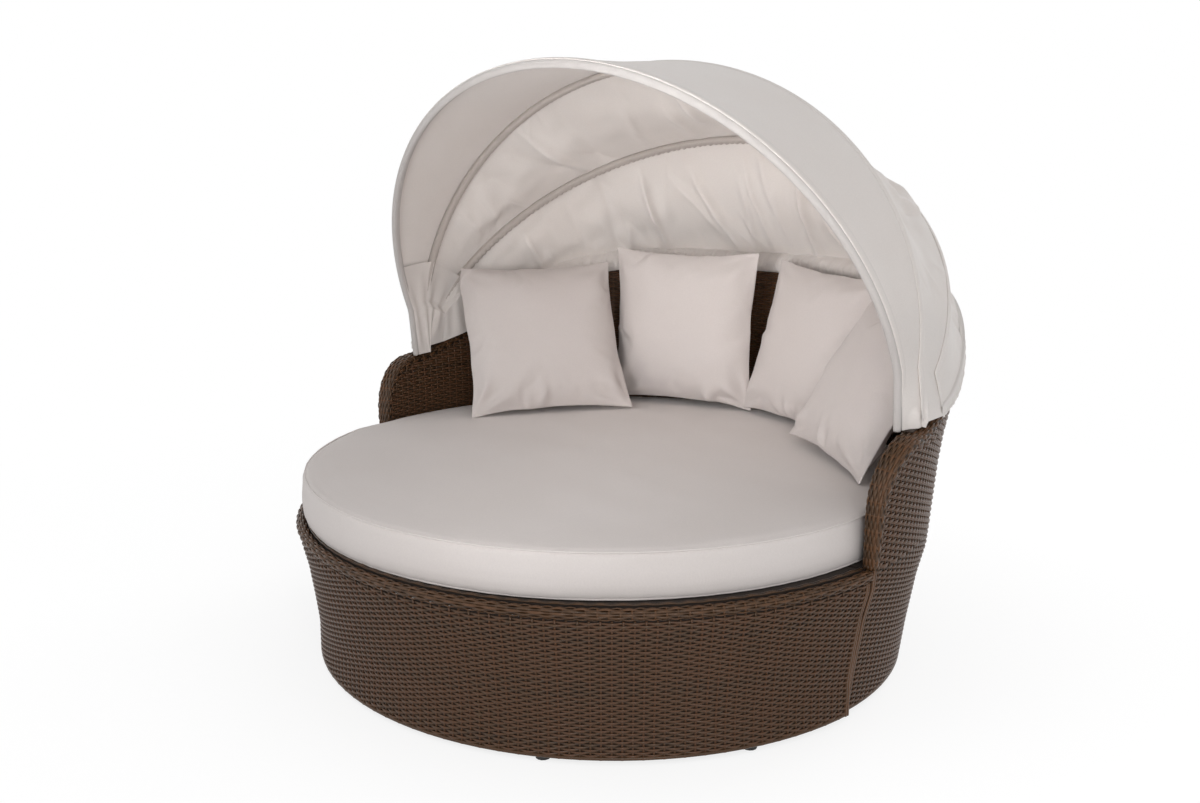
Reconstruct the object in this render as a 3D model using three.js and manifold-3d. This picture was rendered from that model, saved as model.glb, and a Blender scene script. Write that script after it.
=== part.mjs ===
// Round outdoor daybed with a folding canopy, in millimetres, +Z up.
// The half-round front section lies towards -Y and the curved back towards +Y.
// The origin is on the floor, under the middle of the outline.
import * as THREE from 'three';
import { mergeVertices } from 'three/addons/utils/BufferGeometryUtils.js';
import Module from 'manifold-3d';

const wasm = await Module();
wasm.setup();

// Clearances
const touch_gap = 0.3;
const edge_gap = 0.5;
const tube_gap = 2.5;

// Base: two sections that meet on one upright plane
const seam_y = -105;
const seam_gap = 2;
const glide_height = 12;
const glide_radius = 18;
const deck_height = 396;
const deck_thickness = 6;
const weave_thickness = 5;
const rim_radius = 887;
const rim_half_width = 15;
const rim_half_height = 14;
const rim_overhang = 7;
const front_taper = 42;
const rear_taper = 62;

// Wall: the arms and the back are one curved wall on the rear section
const wall_step = 3;
const wall_foot_depth = 34;
const wall_top_depth = 55;
const wall_flare = 76;
const back_height = 992;
const arm_height = 707;
const arm_curve_depth = 150;
const arm_curve_rise = 175;
const back_rise_depth = 805;
const braid_depth = 22;
const braid_overhang = 1.5;
const braid_gap = 1.2;

// Frame tubes
const frame_tube_radius = 9;
const frame_sides = 6;
const joist_spacing = 420;
const floor_ring_inset = 12;

// Canopy bows turn on one bolt at each arm
const pivot_set_back = 30;
const pivot_rise = 28;
const bow_leg = 132;
const front_bow_rise = 792;
const middle_bow_rise = 749;
const rear_bow_rise = 749;
const bow_inset = 2;
const bow_pitch = 13;
const bow_tube_radius = 8;
const bow_sides = 8;
const bow_steps = 32;
const eye_radius = 11;
const eye_thickness = 8;
const eye_half_width = 10;
const eye_length = 60;
const bolt_radius = 4;
const bolt_head_radius = 7;
const bolt_head_height = 5;
const bolt_overrun = 0.8;
const nut_radius = 7.5;
const nut_height = 5.5;
const spacer_radius = 9;
const ear_thickness = 3;
const bracket_length = 66;
const bracket_inset = 2;
const bracket_lift = 0.9;
const bracket_overrun = 4;
const screw_radius = 2.2;
const screw_head_radius = 4.5;
const screw_head_height = 2.2;
const screw_depth = 14;
const screw_inset = 8;

// Cloth of the canopy
const cloth_thickness = 2.5;
const cloth_lift = 8.6;
const cloth_gap = 0.3;
const cloth_full_width = 350;
const cloth_sag = 22;
const fold_height = 11;
const fold_count = 8;
const hem_reach = 100;
const hem_drop = 38;
const hem_raise = 4;
const wrap_lift = 5;
const gusset_row_count = 2;
const leg_row_count = 2;
const wrap_row_count = 2;
const facing_span_count = 2;
const band_span_count = 3;
const panel_span_count = 5;

// Mattress and pillows
const mattress_gap = 2;
const mattress_squeeze = 4;
const mattress_thickness = 118;
const mattress_crown = 13;
const mattress_sides = 44;
const press_fade = 120;
const mattress_x = -22;
const mattress_y = -2;
const pillow_seam = 3;
const pillow_size = 500;
const pillow_loft = 150;

// Radii that follow from the rim, and the three bows
const front_top_radius = rim_radius - rim_overhang;
const front_foot_radius = front_top_radius - front_taper;
const wall_foot_radius = rim_radius - wall_step;
const rear_foot_radius = wall_foot_radius - rear_taper;
const wall_top_radius = wall_foot_radius + wall_flare;
const wall_inner_radius = wall_foot_radius - wall_foot_depth;
const wall_inner_top_radius = wall_top_radius - wall_top_depth;
const mattress_radius = wall_inner_radius - mattress_gap;
const bow_half_width = wall_inner_radius + bow_inset;
const front_bow = { half_width: bow_half_width, rise: front_bow_rise, tilt: 22.4 };
const middle_bow = { half_width: bow_half_width + bow_pitch, rise: middle_bow_rise, tilt: -9 };
const rear_bow = { half_width: bow_half_width + 2 * bow_pitch, rise: rear_bow_rise, tilt: -41 };

// Pillow places as shares of the mattress's radius, and sizes as shares of the largest pillow's
const pillow_place_shares = [
  { x: -0.678, y: 0.4186, yaw: 53.3, lean: 31.8, roll: -0.9, size: 1, loft: 1 },
  { x: -0.2795, y: 0.7983, yaw: 11.2, lean: 4.4, roll: 0, size: 0.99, loft: 0.93 },
  { x: 0.3137, y: 0.8137, yaw: -19.4, lean: 16, roll: 2.4, size: 0.97, loft: 0.83 },
  { x: 0.6637, y: 0.4588, yaw: -43, lean: 31, roll: 3, size: 0.96, loft: 0.9 },
];

// Outline shares: how far up, and how far from the foot radius to the top radius
const front_base_shares = [[0, 0], [0.24, -0.02], [0.45, 0.22], [0.7, 0.56], [0.86, 0.93], [1, 1]];
const rear_base_shares = [[0, 0], [0.3, 0.24], [0.66, 0.61], [0.87, 0.93], [1, 1]];
const wall_outer_shares = [[0, 0], [0.29, 0.18], [0.43, 0.32], [0.62, 0.62], [1, 1]];
const wall_inner_shares = [[0, 0], [0.35, 0], [0.52, 0.12], [0.75, 0.5], [1, 1]];
const back_rise_start_share = 0.5;
const height_passes = 12;

// Columns round the wall: an arm's rounded end, then shares of the way to the middle of the back
const arm_end_degrees = [0, 15, 30, 45, 60, 75];
const back_column_shares = [0, 0.08, 0.16, 0.24, 0.32, 0.41, 0.5, 0.59, 0.68, 0.76, 0.84, 0.92, 1];
const front_column_count = 28;
const rim_sides = 8;

const radians = THREE.MathUtils.degToRad;
const arm_centre_y = seam_y + arm_curve_depth;
const arm_centre_z = arm_height - arm_curve_rise;
const pivot_y = arm_centre_y + pivot_set_back;
const pivot_height = arm_height + pivot_rise;
const rim_height = deck_height - 2 * rim_half_height;
const outline_back = wall_top_radius + wrap_lift + cloth_thickness;
const outline_middle_y = (outline_back - rim_radius) / 2;

const looks = {
  wicker: { color: 0x6a5443, roughness: 0.55, metalness: 0 },
  braid: { color: 0x74594a, roughness: 0.5, metalness: 0 },
  frame: { color: 0x3b3029, roughness: 0.5, metalness: 0.4 },
  bow: { color: 0x8c8984, roughness: 0.4, metalness: 0.8 },
  steel: { color: 0xa9a9a6, roughness: 0.35, metalness: 1 },
  glide: { color: 0x1b1a19, roughness: 0.6, metalness: 0 },
  canopy: { color: 0xdcd8d2, roughness: 0.9, metalness: 0 },
  cushion: { color: 0xcfc6bf, roughness: 0.9, metalness: 0 },
};

const daybed = new THREE.Group();
daybed.position.y = -outline_middle_y;

function addPiece(name, geometry, look) {
  const material = new THREE.MeshStandardMaterial(looks[look]);
  const mesh = new THREE.Mesh(geometry, material);
  mesh.name = name;
  daybed.add(mesh);
  return mesh;
}

// Closed meshes from grids and rings

function signedVolume(vertices, triangles) {
  let volume = 0;
  for (const [a, b, c] of triangles) {
    volume += vertices[a].dot(new THREE.Vector3().crossVectors(vertices[b], vertices[c]));
  }
  return volume;
}

function closedGeometry(vertices, triangles) {
  const outward = signedVolume(vertices, triangles) > 0;
  const index = triangles.flatMap(([a, b, c]) => (outward ? [a, b, c] : [a, c, b]));
  const geometry = new THREE.BufferGeometry();
  geometry.setFromPoints(vertices);
  geometry.setIndex(index);
  return geometry;
}

// A slab between two grids of points: side 0 is the inner face and side 1 the outer face.
function slab(columns, rows, pointAt) {
  const vertices = [];
  for (const side of [0, 1]) {
    for (let i = 0; i < columns; i += 1) {
      for (let j = 0; j < rows; j += 1) {
        vertices.push(pointAt(i, j, side));
      }
    }
  }
  const at = (side, i, j) => (side * columns + i) * rows + j;
  const triangles = [];
  const quad = (a, b, c, d) => triangles.push([a, b, c], [a, c, d]);
  for (let i = 1; i < columns; i += 1) {
    for (let j = 1; j < rows; j += 1) {
      quad(at(1, i - 1, j - 1), at(1, i, j - 1), at(1, i, j), at(1, i - 1, j));
      quad(at(0, i - 1, j - 1), at(0, i - 1, j), at(0, i, j), at(0, i, j - 1));
    }
  }
  for (let i = 1; i < columns; i += 1) {
    quad(at(0, i - 1, 0), at(0, i, 0), at(1, i, 0), at(1, i - 1, 0));
    quad(at(0, i - 1, rows - 1), at(1, i - 1, rows - 1), at(1, i, rows - 1), at(0, i, rows - 1));
  }
  const end = columns - 1;
  for (let j = 1; j < rows; j += 1) {
    quad(at(0, 0, j - 1), at(1, 0, j - 1), at(1, 0, j), at(0, 0, j));
    quad(at(0, end, j - 1), at(0, end, j), at(1, end, j), at(1, end, j - 1));
  }
  return closedGeometry(vertices, triangles);
}

// A bar through rings of points, closed at both ends.
function bar(rings) {
  const count = rings[0].length;
  const vertices = rings.flat();
  const triangles = [];
  for (let i = 1; i < rings.length; i += 1) {
    for (let j = 0; j < count; j += 1) {
      const next = (j + 1) % count;
      const [a, b] = [(i - 1) * count + j, (i - 1) * count + next];
      const [c, d] = [i * count + next, i * count + j];
      triangles.push([a, b, c], [a, c, d]);
    }
  }
  const last = (rings.length - 1) * count;
  for (let j = 2; j < count; j += 1) {
    triangles.push([0, j, j - 1], [last, last + j - 1, last + j]);
  }
  return closedGeometry(vertices, triangles);
}

// Joins and cuts

function toSolid(geometry) {
  const bare = geometry.clone();
  bare.deleteAttribute('normal');
  bare.deleteAttribute('uv');
  const merged = mergeVertices(bare);
  return new wasm.Manifold(new wasm.Mesh({
    numProp: 3,
    vertProperties: new Float32Array(merged.attributes.position.array),
    triVerts: new Uint32Array(merged.index.array),
  }));
}

function fromSolid(solid) {
  const mesh = solid.getMesh();
  const geometry = new THREE.BufferGeometry();
  geometry.setAttribute('position', new THREE.BufferAttribute(mesh.vertProperties, 3));
  geometry.setIndex(new THREE.BufferAttribute(mesh.triVerts, 1));
  return geometry;
}

function join(geometries) {
  return fromSolid(geometries.map(toSolid).reduce((all, one) => all.add(one)));
}

function cut(geometry, tools) {
  return fromSolid(tools.map(toSolid).reduce((all, one) => all.subtract(one), toSolid(geometry)));
}

function mirrored(geometry) {
  const copy = geometry.clone();
  copy.scale(-1, 1, 1);
  const index = copy.index.array.slice();
  for (let i = 0; i < index.length; i += 3) {
    [index[i + 1], index[i + 2]] = [index[i + 2], index[i + 1]];
  }
  copy.setIndex(new THREE.BufferAttribute(index, 1));
  return copy;
}

function rod(from, to, radius, sides) {
  const along = new THREE.Vector3().subVectors(to, from);
  const geometry = new THREE.CylinderGeometry(radius, radius, along.length(), sides);
  const up = new THREE.Vector3(0, 1, 0);
  geometry.applyQuaternion(new THREE.Quaternion().setFromUnitVectors(up, along.clone().normalize()));
  geometry.translate((from.x + to.x) / 2, (from.y + to.y) / 2, (from.z + to.z) / 2);
  return geometry;
}

function rodAlongX(x0, x1, y, z, radius, sides) {
  return rod(new THREE.Vector3(x0, y, z), new THREE.Vector3(x1, y, z), radius, sides);
}

// A tube along a curve, with a ring at each of the curve's own steps.
function tubeAlong(curve, steps, radius, sides) {
  const section = new THREE.Shape();
  section.absarc(0, 0, radius, 0, 2 * Math.PI, false);
  const settings = { extrudePath: curve, steps, curveSegments: sides / 2, bevelEnabled: false };
  return new THREE.ExtrudeGeometry(section, settings);
}

class StepCurve extends THREE.Curve {
  constructor(points) {
    super();
    this.points = points;
  }

  getUtoTmapping(share) {
    return share;
  }

  getPoint(share, target = new THREE.Vector3()) {
    const place = Math.min(Math.max(share, 0), 1) * (this.points.length - 1);
    const start = Math.min(Math.floor(place), this.points.length - 2);
    return target.lerpVectors(this.points[start], this.points[start + 1], place - start);
  }

  getTangent(share, target = new THREE.Vector3()) {
    const place = Math.round(share * (this.points.length - 1));
    const before = this.points[Math.max(place - 1, 0)];
    const after = this.points[Math.min(place + 1, this.points.length - 1)];
    return target.subVectors(after, before).normalize();
  }
}

function bentTube(points, radius, sides) {
  return tubeAlong(new StepCurve(points), points.length - 1, radius, sides);
}

// Radii and heights of the base and the wall

function lookup(shares, share) {
  if (share <= shares[0][0]) {
    return shares[0][1];
  }
  for (let i = 1; i < shares.length; i += 1) {
    const [before, low] = shares[i - 1];
    const [after, high] = shares[i];
    if (share <= after) {
      return low + ((high - low) * (share - before)) / (after - before);
    }
  }
  return shares[shares.length - 1][1];
}

function baseShare(z) {
  return (z - glide_height) / (deck_height - glide_height);
}

function wallShare(z) {
  return (z - deck_height) / (back_height - deck_height);
}

function frontRadius(z) {
  const flare = front_top_radius - front_foot_radius;
  return front_foot_radius + flare * lookup(front_base_shares, baseShare(z));
}

function rearRadius(z) {
  return rear_foot_radius + (wall_foot_radius - rear_foot_radius) * lookup(rear_base_shares, baseShare(z));
}

function wallOuterRadius(z) {
  return wall_foot_radius + (wall_top_radius - wall_foot_radius) * lookup(wall_outer_shares, wallShare(z));
}

function wallInnerRadius(z) {
  const flare = wall_inner_top_radius - wall_inner_radius;
  return wall_inner_radius + flare * lookup(wall_inner_shares, wallShare(z));
}

function wallMiddleRadius(z) {
  return (wallOuterRadius(z) + wallInnerRadius(z)) / 2;
}

// Height of the wall's top edge over a place along Y, and its slope there
function riseHeight(y) {
  const t = Math.min((y - arm_centre_y) / back_rise_depth, 1);
  const rise = back_rise_start_share * (t - 2 * t * t + t ** 3) + 3 * t * t - 2 * t ** 3;
  return arm_height + (back_height - arm_height) * rise;
}

function riseSlope(y) {
  const step = back_rise_depth / 100;
  return (riseHeight(y + step) - riseHeight(y - step)) / (2 * step);
}

// Columns of the wall, right arm to left arm. An arm column has an angle of the arm's rounded end, and
// a back column has a share of the way round to the middle of the back.
const half_columns = [
  ...arm_end_degrees.map((degrees) => ({ turn: radians(degrees) })),
  ...back_column_shares.map((share) => ({ share })),
];
const wall_columns = [
  ...half_columns.map((column) => ({ ...column, side: 1 })),
  ...half_columns.slice(0, -1).reverse().map((column) => ({ ...column, side: -1 })),
];

function columnAt(column, inset, radius) {
  if (column.turn !== undefined) {
    const y = arm_centre_y - (arm_curve_depth - inset) * Math.cos(column.turn);
    return { x: column.side * Math.sqrt(radius * radius - y * y), y };
  }
  const start = Math.acos(-arm_centre_y / radius);
  const angle = start + (Math.PI - start) * column.share;
  return { x: column.side * radius * Math.sin(angle), y: -radius * Math.cos(angle) };
}

// Height of a line inside the wall that keeps square to its top edge by the inset, over the place that
// the wall's middle surface has at that height
function insetHeight(placeAt, inset) {
  let z = back_height;
  for (let pass = 0; pass < height_passes; pass += 1) {
    const place = placeAt(wallMiddleRadius(z));
    const along = Math.abs(place.x) / Math.hypot(place.x, place.y);
    z = riseHeight(place.y) - inset * Math.hypot(1, riseSlope(place.y) * along);
  }
  return z;
}

function columnTop(column, inset) {
  if (column.turn !== undefined) {
    return arm_centre_z + (arm_curve_rise - inset) * Math.sin(column.turn);
  }
  return insetHeight((radius) => columnAt(column, inset, radius), inset);
}

// Curved skin between two heights of each column
function wallSkin(inset, heights, radiusAt, thickness) {
  return slab(wall_columns.length, heights.length, (i, j, side) => {
    const column = wall_columns[i];
    const z = heights[j](column);
    const radius = radiusAt(z) + (side === 0 ? 0 : thickness);
    const place = columnAt(column, inset, radius);
    return new THREE.Vector3(place.x, place.y, z);
  });
}

function evenHeights(low, high, rows) {
  return Array.from({ length: rows + 1 }, (unused, j) => (column) => {
    const top = typeof high === 'function' ? high(column) : high;
    return low + ((top - low) * j) / rows;
  });
}

// Woven skins and panels of the rear section

function rearBaseWeave() {
  const rise = deck_height - seam_gap - glide_height;
  const heights = rear_base_shares.map(([share]) => () => glide_height + share * rise);
  return wallSkin(0, heights, (z) => rearRadius(z) - weave_thickness, weave_thickness);
}

function backOuterWeave() {
  const inset = braid_depth + braid_gap;
  const top = (column) => columnTop(column, inset);
  const heights = evenHeights(deck_height - seam_gap + touch_gap, top, wall_outer_shares.length - 1);
  return wallSkin(inset, heights, (z) => wallOuterRadius(z) - weave_thickness, weave_thickness);
}

function backInnerWeave() {
  const inset = braid_depth + braid_gap;
  const top = (column) => columnTop(column, inset);
  const heights = evenHeights(deck_height + touch_gap, top, wall_inner_shares.length - 1);
  return wallSkin(inset, heights, wallInnerRadius, weave_thickness);
}

// Path along the wall's edge, with the direction through the wall and the direction out of the edge
function edgePath(inset, foot_z, radiusAt) {
  const places = wall_columns.map((column) => {
    const z = columnTop(column, inset);
    const place = columnAt(column, inset, radiusAt(z));
    return new THREE.Vector3(place.x, place.y, z);
  });
  const feet = [1, -1].map((side) => {
    const place = columnAt({ turn: 0, side }, inset, radiusAt(foot_z));
    return new THREE.Vector3(place.x, place.y, foot_z);
  });
  return [feet[0], ...places, feet[1]];
}

function edgeFrames(path) {
  return path.map((point, i) => {
    const before = path[Math.max(i - 1, 0)];
    const after = path[Math.min(i + 1, path.length - 1)];
    const along = new THREE.Vector3().subVectors(after, before).normalize();
    const radial = new THREE.Vector3(point.x, point.y > arm_centre_y ? point.y : 0, 0).normalize();
    const out = new THREE.Vector3().crossVectors(radial, along).normalize();
    const across = new THREE.Vector3().crossVectors(along, out);
    return { point, along, out, across };
  });
}

const braid_section_shares = [
  [-1, -1], [1, -1], [1, 0.2], [0.92, 0.7], [0.68, 1], [-0.68, 1], [-0.92, 0.7], [-1, 0.2],
];

function braidFrames() {
  return edgeFrames(edgePath(braid_depth / 2, deck_height + touch_gap, wallMiddleRadius));
}

function backEdgeBraid() {
  const rings = braidFrames().map(({ point, out, across }) => {
    const half_wall = (wallOuterRadius(point.z) - wallInnerRadius(point.z)) / 2 + braid_overhang;
    return braid_section_shares.map(([width, depth]) => point.clone()
      .addScaledVector(across, width * half_wall)
      .addScaledVector(out, (depth * braid_depth) / 2));
  });
  for (const ring of [rings[0], rings[rings.length - 1]]) {
    for (const point of ring) {
      point.z = deck_height + touch_gap;
    }
  }
  return bar(rings);
}

// Flat decks and end panels

function frontArc(radius, y_limit) {
  const limit = Math.acos(-y_limit / radius);
  return Array.from({ length: front_column_count + 1 }, (unused, i) => {
    const angle = limit - (2 * limit * i) / front_column_count;
    return new THREE.Vector2(radius * Math.sin(angle), -radius * Math.cos(angle));
  });
}

// The rear arc keeps to the wall's columns, so that its facets lie parallel to theirs.
function rearArc(radius, y_limit) {
  const x = chordHalfWidth(radius, y_limit);
  const between = wall_columns
    .map((column) => columnAt(column, 0, radius))
    .filter((place) => place.y > y_limit + weave_thickness)
    .map((place) => new THREE.Vector2(place.x, place.y));
  return [new THREE.Vector2(x, y_limit), ...between, new THREE.Vector2(-x, y_limit)];
}

function arcPoints(radius, y_limit, towards_back) {
  return towards_back ? rearArc(radius, y_limit) : frontArc(radius, y_limit);
}

function deck(radius, y_limit, towards_back) {
  const shape = new THREE.Shape(arcPoints(radius, y_limit, towards_back));
  const geometry = new THREE.ExtrudeGeometry(shape, { depth: deck_thickness, bevelEnabled: false });
  geometry.translate(0, 0, deck_height - deck_thickness);
  return geometry;
}

// An upright panel across the chord. The outline goes up the right side.
function chordPanel(outline, y) {
  const right = outline.map(([x, z]) => new THREE.Vector2(x, z));
  const left = outline.map(([x, z]) => new THREE.Vector2(-x, z)).reverse();
  const shape = new THREE.Shape([...right, ...left]);
  const geometry = new THREE.ExtrudeGeometry(shape, { depth: weave_thickness, bevelEnabled: false });
  geometry.rotateX(Math.PI / 2);
  geometry.translate(0, y + weave_thickness, 0);
  return geometry;
}

function chordHalfWidth(radius, y) {
  return Math.sqrt(radius * radius - y * y);
}

function rearFrontPanel() {
  const outline = rear_base_shares.map(([share]) => {
    const z = glide_height + share * (deck_height - glide_height);
    return [chordHalfWidth(rearRadius(z) - weave_thickness - edge_gap, seam_y), z];
  });
  return chordPanel(outline, seam_y);
}

function frontBackPanel() {
  const y = seam_y - seam_gap;
  const skin_top = rim_height - touch_gap;
  const outline = front_base_shares
    .map(([share]) => glide_height + share * (skin_top - glide_height))
    .map((z) => [chordHalfWidth(frontRadius(z) - weave_thickness - edge_gap, y - weave_thickness), z]);
  const rim_inner = rim_radius - 2 * rim_half_width - edge_gap;
  const inner_x = chordHalfWidth(rim_inner, y - weave_thickness);
  return chordPanel([...outline, [inner_x, skin_top], [inner_x, deck_height]], y - weave_thickness);
}

// Front section

function frontAngles(radius) {
  const limit = Math.acos(-(seam_y - seam_gap) / radius);
  const columns = Array.from({ length: front_column_count + 1 }, (unused, i) => i / front_column_count);
  return columns.map((share) => limit - 2 * limit * share);
}

function frontWeave() {
  const rise = rim_height - touch_gap - glide_height;
  const heights = front_base_shares.map(([share]) => glide_height + share * rise);
  return slab(front_column_count + 1, heights.length, (i, j, side) => {
    const z = heights[j];
    const radius = frontRadius(z) - (side === 0 ? weave_thickness : 0);
    const angle = frontAngles(radius)[i];
    return new THREE.Vector3(radius * Math.sin(angle), -radius * Math.cos(angle), z);
  });
}

function frontRimBraid() {
  const middle = rim_radius - rim_half_width;
  const rings = frontAngles(middle).map((unused, i) => {
    return Array.from({ length: rim_sides }, (unused_too, k) => {
      const turn = (2 * Math.PI * (k + 0.5)) / rim_sides;
      const flat = 1 / Math.cos(Math.PI / rim_sides);
      const radius = middle + rim_half_width * flat * Math.cos(turn);
      const angle = frontAngles(radius)[i];
      const z = deck_height - rim_half_height + rim_half_height * flat * Math.sin(turn);
      return new THREE.Vector3(radius * Math.sin(angle), -radius * Math.cos(angle), z);
    });
  });
  return bar(rings);
}

// Welded frames inside the skins

const ring_floor_z = glide_height + touch_gap + frame_tube_radius;
const ring_deck_z = deck_height - deck_thickness - touch_gap - frame_tube_radius;
const tube_inset = weave_thickness + tube_gap + frame_tube_radius;
const rear_chord_y = seam_y + tube_inset;
const front_chord_y = seam_y - seam_gap - tube_inset;
const rear_floor_ring = rearRadius(ring_floor_z) - tube_inset - floor_ring_inset;
const rear_deck_ring = wall_inner_radius + weave_thickness + tube_gap + frame_tube_radius;
const front_floor_ring = frontRadius(ring_floor_z) - tube_inset - floor_ring_inset;
const front_deck_ring = rim_radius - 2 * rim_half_width - tube_gap - frame_tube_radius;

function ringTube(radius, z, y_limit, towards_back) {
  const points = arcPoints(radius, y_limit, towards_back).map(({ x, y }) => new THREE.Vector3(x, y, z));
  return bentTube(points, frame_tube_radius, frame_sides);
}

function chordTube(radius, z, y) {
  const x = chordHalfWidth(radius, y);
  return rodAlongX(-x, x, y, z, frame_tube_radius, frame_sides);
}

function ringPlace(radius, degrees, z) {
  const angle = radians(degrees);
  return new THREE.Vector3(radius * Math.sin(angle), -radius * Math.cos(angle), z);
}

// A post from the floor ring up beside a skin, with a bend at each of the skin's rows
function postAlong(shares, placeAt) {
  const between = shares
    .map(([share]) => glide_height + share * (deck_height - glide_height))
    .filter((z) => z > ring_floor_z + glide_height && z < ring_deck_z - glide_height);
  const points = [ring_floor_z, ...between, ring_deck_z].map(placeAt);
  return bentTube(points, frame_tube_radius, frame_sides);
}

function rearPostRadius(z) {
  return Math.min(rearRadius(z) - tube_inset - (z > ring_floor_z ? 0 : floor_ring_inset), rear_deck_ring);
}

function frontPostRadius(z) {
  const inset = z > ring_floor_z ? 0 : floor_ring_inset;
  return Math.min(frontRadius(z) - tube_inset - inset, front_deck_ring);
}

function joists(radius, y_near) {
  return [-1, 0, 1].map((step) => {
    const x = step * joist_spacing;
    const reach = Math.sign(y_near - seam_y) * chordHalfWidth(radius, x);
    const from = new THREE.Vector3(x, y_near, ring_deck_z);
    return rod(from, new THREE.Vector3(x, reach, ring_deck_z), frame_tube_radius, frame_sides);
  });
}

const rear_post_degrees = [113, 147, 180, 213, 247];
const front_post_degrees = [-62, -20, 20, 62];
const rear_glide_degrees = [113, 155, 205, 247];
const front_glide_degrees = [-62, -27, 27, 62];

function railRadius(z) {
  return wallInnerRadius(z) + weave_thickness + tube_gap + frame_tube_radius;
}

function rearFrame() {
  const rail_inset = braid_depth + braid_gap + tube_gap + frame_tube_radius;
  const rail = edgePath(rail_inset, ring_deck_z, railRadius);
  const arm_feet = [0, -1].map((at) => {
    const top = rail.at(at);
    const xAt = (z) => Math.sign(top.x) * chordHalfWidth(rearPostRadius(z), top.y);
    return postAlong(rear_base_shares, (z) => new THREE.Vector3(xAt(z), top.y, z));
  });
  const posts = rear_post_degrees.flatMap((degrees) => {
    const middle = ringPlace(rear_deck_ring, degrees, ring_deck_z);
    const head_z = insetHeight((radius) => ringPlace(radius, degrees, 0), rail_inset);
    const head = ringPlace(railRadius(head_z), degrees, head_z);
    return [
      postAlong(rear_base_shares, (z) => ringPlace(rearPostRadius(z), degrees, z)),
      rod(middle, head, frame_tube_radius, frame_sides),
    ];
  });
  return join([
    ringTube(rear_floor_ring, ring_floor_z, rear_chord_y, true),
    ringTube(rear_deck_ring, ring_deck_z, rear_chord_y, true),
    chordTube(rear_floor_ring, ring_floor_z, rear_chord_y),
    chordTube(rear_deck_ring, ring_deck_z, rear_chord_y),
    bentTube(rail, frame_tube_radius, frame_sides),
    ...arm_feet,
    ...posts,
    ...joists(rear_deck_ring, rear_chord_y),
  ]);
}

function frontFrame() {
  const posts = front_post_degrees.map((degrees) => {
    return postAlong(front_base_shares, (z) => ringPlace(frontPostRadius(z), degrees, z));
  });
  return join([
    ringTube(front_floor_ring, ring_floor_z, front_chord_y, false),
    ringTube(front_deck_ring, ring_deck_z, front_chord_y, false),
    chordTube(front_floor_ring, ring_floor_z, front_chord_y),
    chordTube(front_deck_ring, ring_deck_z, front_chord_y),
    ...posts,
    ...joists(front_deck_ring, front_chord_y),
  ]);
}

function glide(radius, degrees) {
  const foot = ringPlace(radius, degrees, 0);
  return rod(foot, foot.clone().setZ(glide_height), glide_radius, 12);
}

// Canopy bows. A lift moves a point outwards from the tube's middle in the bow's own plane.

function bowPoint(bow, turn, lift) {
  const x = (bow.half_width + lift) * Math.cos(turn);
  const along = bow_leg + (bow.rise + lift) * Math.sin(turn);
  return legPoint(bow, x, along);
}

function legPoint(bow, x, along) {
  const tilt = radians(bow.tilt);
  return new THREE.Vector3(x, pivot_y - along * Math.sin(tilt), pivot_height + along * Math.cos(tilt));
}

function bowTurn(i) {
  return (Math.PI * i) / bow_steps;
}

function bowEye(bow, side) {
  const x = side * bow.half_width;
  const plate = new THREE.BoxGeometry(eye_thickness, 2 * eye_half_width, eye_length);
  plate.translate(0, 0, eye_length / 2);
  plate.rotateX(radians(bow.tilt));
  plate.translate(x, pivot_y, pivot_height);
  const [near, far] = [x - eye_thickness / 2, x + eye_thickness / 2];
  const round = rodAlongX(near, far, pivot_y, pivot_height, eye_radius, 16);
  return [plate, round];
}

function canopyBow(bow) {
  const start = eye_length - eye_half_width;
  const arc = Array.from({ length: bow_steps + 1 }, (unused, i) => bowPoint(bow, bowTurn(i), 0));
  const points = [
    legPoint(bow, bow.half_width, start), ...arc, legPoint(bow, -bow.half_width, start),
  ];
  const hoop = join([bentTube(points, bow_tube_radius, bow_sides), ...bowEye(bow, 1), ...bowEye(bow, -1)]);
  const reach = bow.half_width + eye_thickness;
  const hole = rodAlongX(-reach, reach, pivot_y, pivot_height, bolt_radius + touch_gap, 12);
  return cut(hoop, [hole]);
}

// Pivot hardware on each arm, drawn for the right arm

const ear_inner_x = front_bow.half_width - eye_thickness / 2 - touch_gap - ear_thickness;
const ear_outer_x = rear_bow.half_width + eye_thickness / 2 + touch_gap;

// The flat facet of the braid under the bracket, as its two ends along the crest
function crestFacet() {
  const frames = braidFrames();
  const first = 1 + arm_end_degrees.length;
  return [frames[first], frames[first + 1]]
    .map(({ point, out }) => point.clone().addScaledVector(out, braid_depth / 2));
}

function crestSlope() {
  const [low, high] = crestFacet();
  return Math.atan2(high.z - low.z, high.y - low.y);
}

function crestHeight(y) {
  const [low, high] = crestFacet();
  return low.z + ((high.z - low.z) * (y - low.y)) / (high.y - low.y);
}

const bracket_y = Math.max(pivot_y, arm_centre_y + bracket_length / 2);

function placeOnCrest(geometry, x, offset, height) {
  geometry.translate(0, offset, height);
  geometry.rotateX(crestSlope());
  geometry.translate(x, bracket_y, crestHeight(bracket_y));
  return geometry;
}

function screwPlaces() {
  const reach = bracket_length / 2 - screw_inset;
  const x = (ear_inner_x + ear_outer_x + ear_thickness) / 2;
  return [-reach, reach].map((offset) => ({ x, offset }));
}

function uprightRod(radius, length, sides) {
  const geometry = new THREE.CylinderGeometry(radius, radius, length, sides);
  geometry.rotateX(Math.PI / 2);
  return geometry;
}

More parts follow.
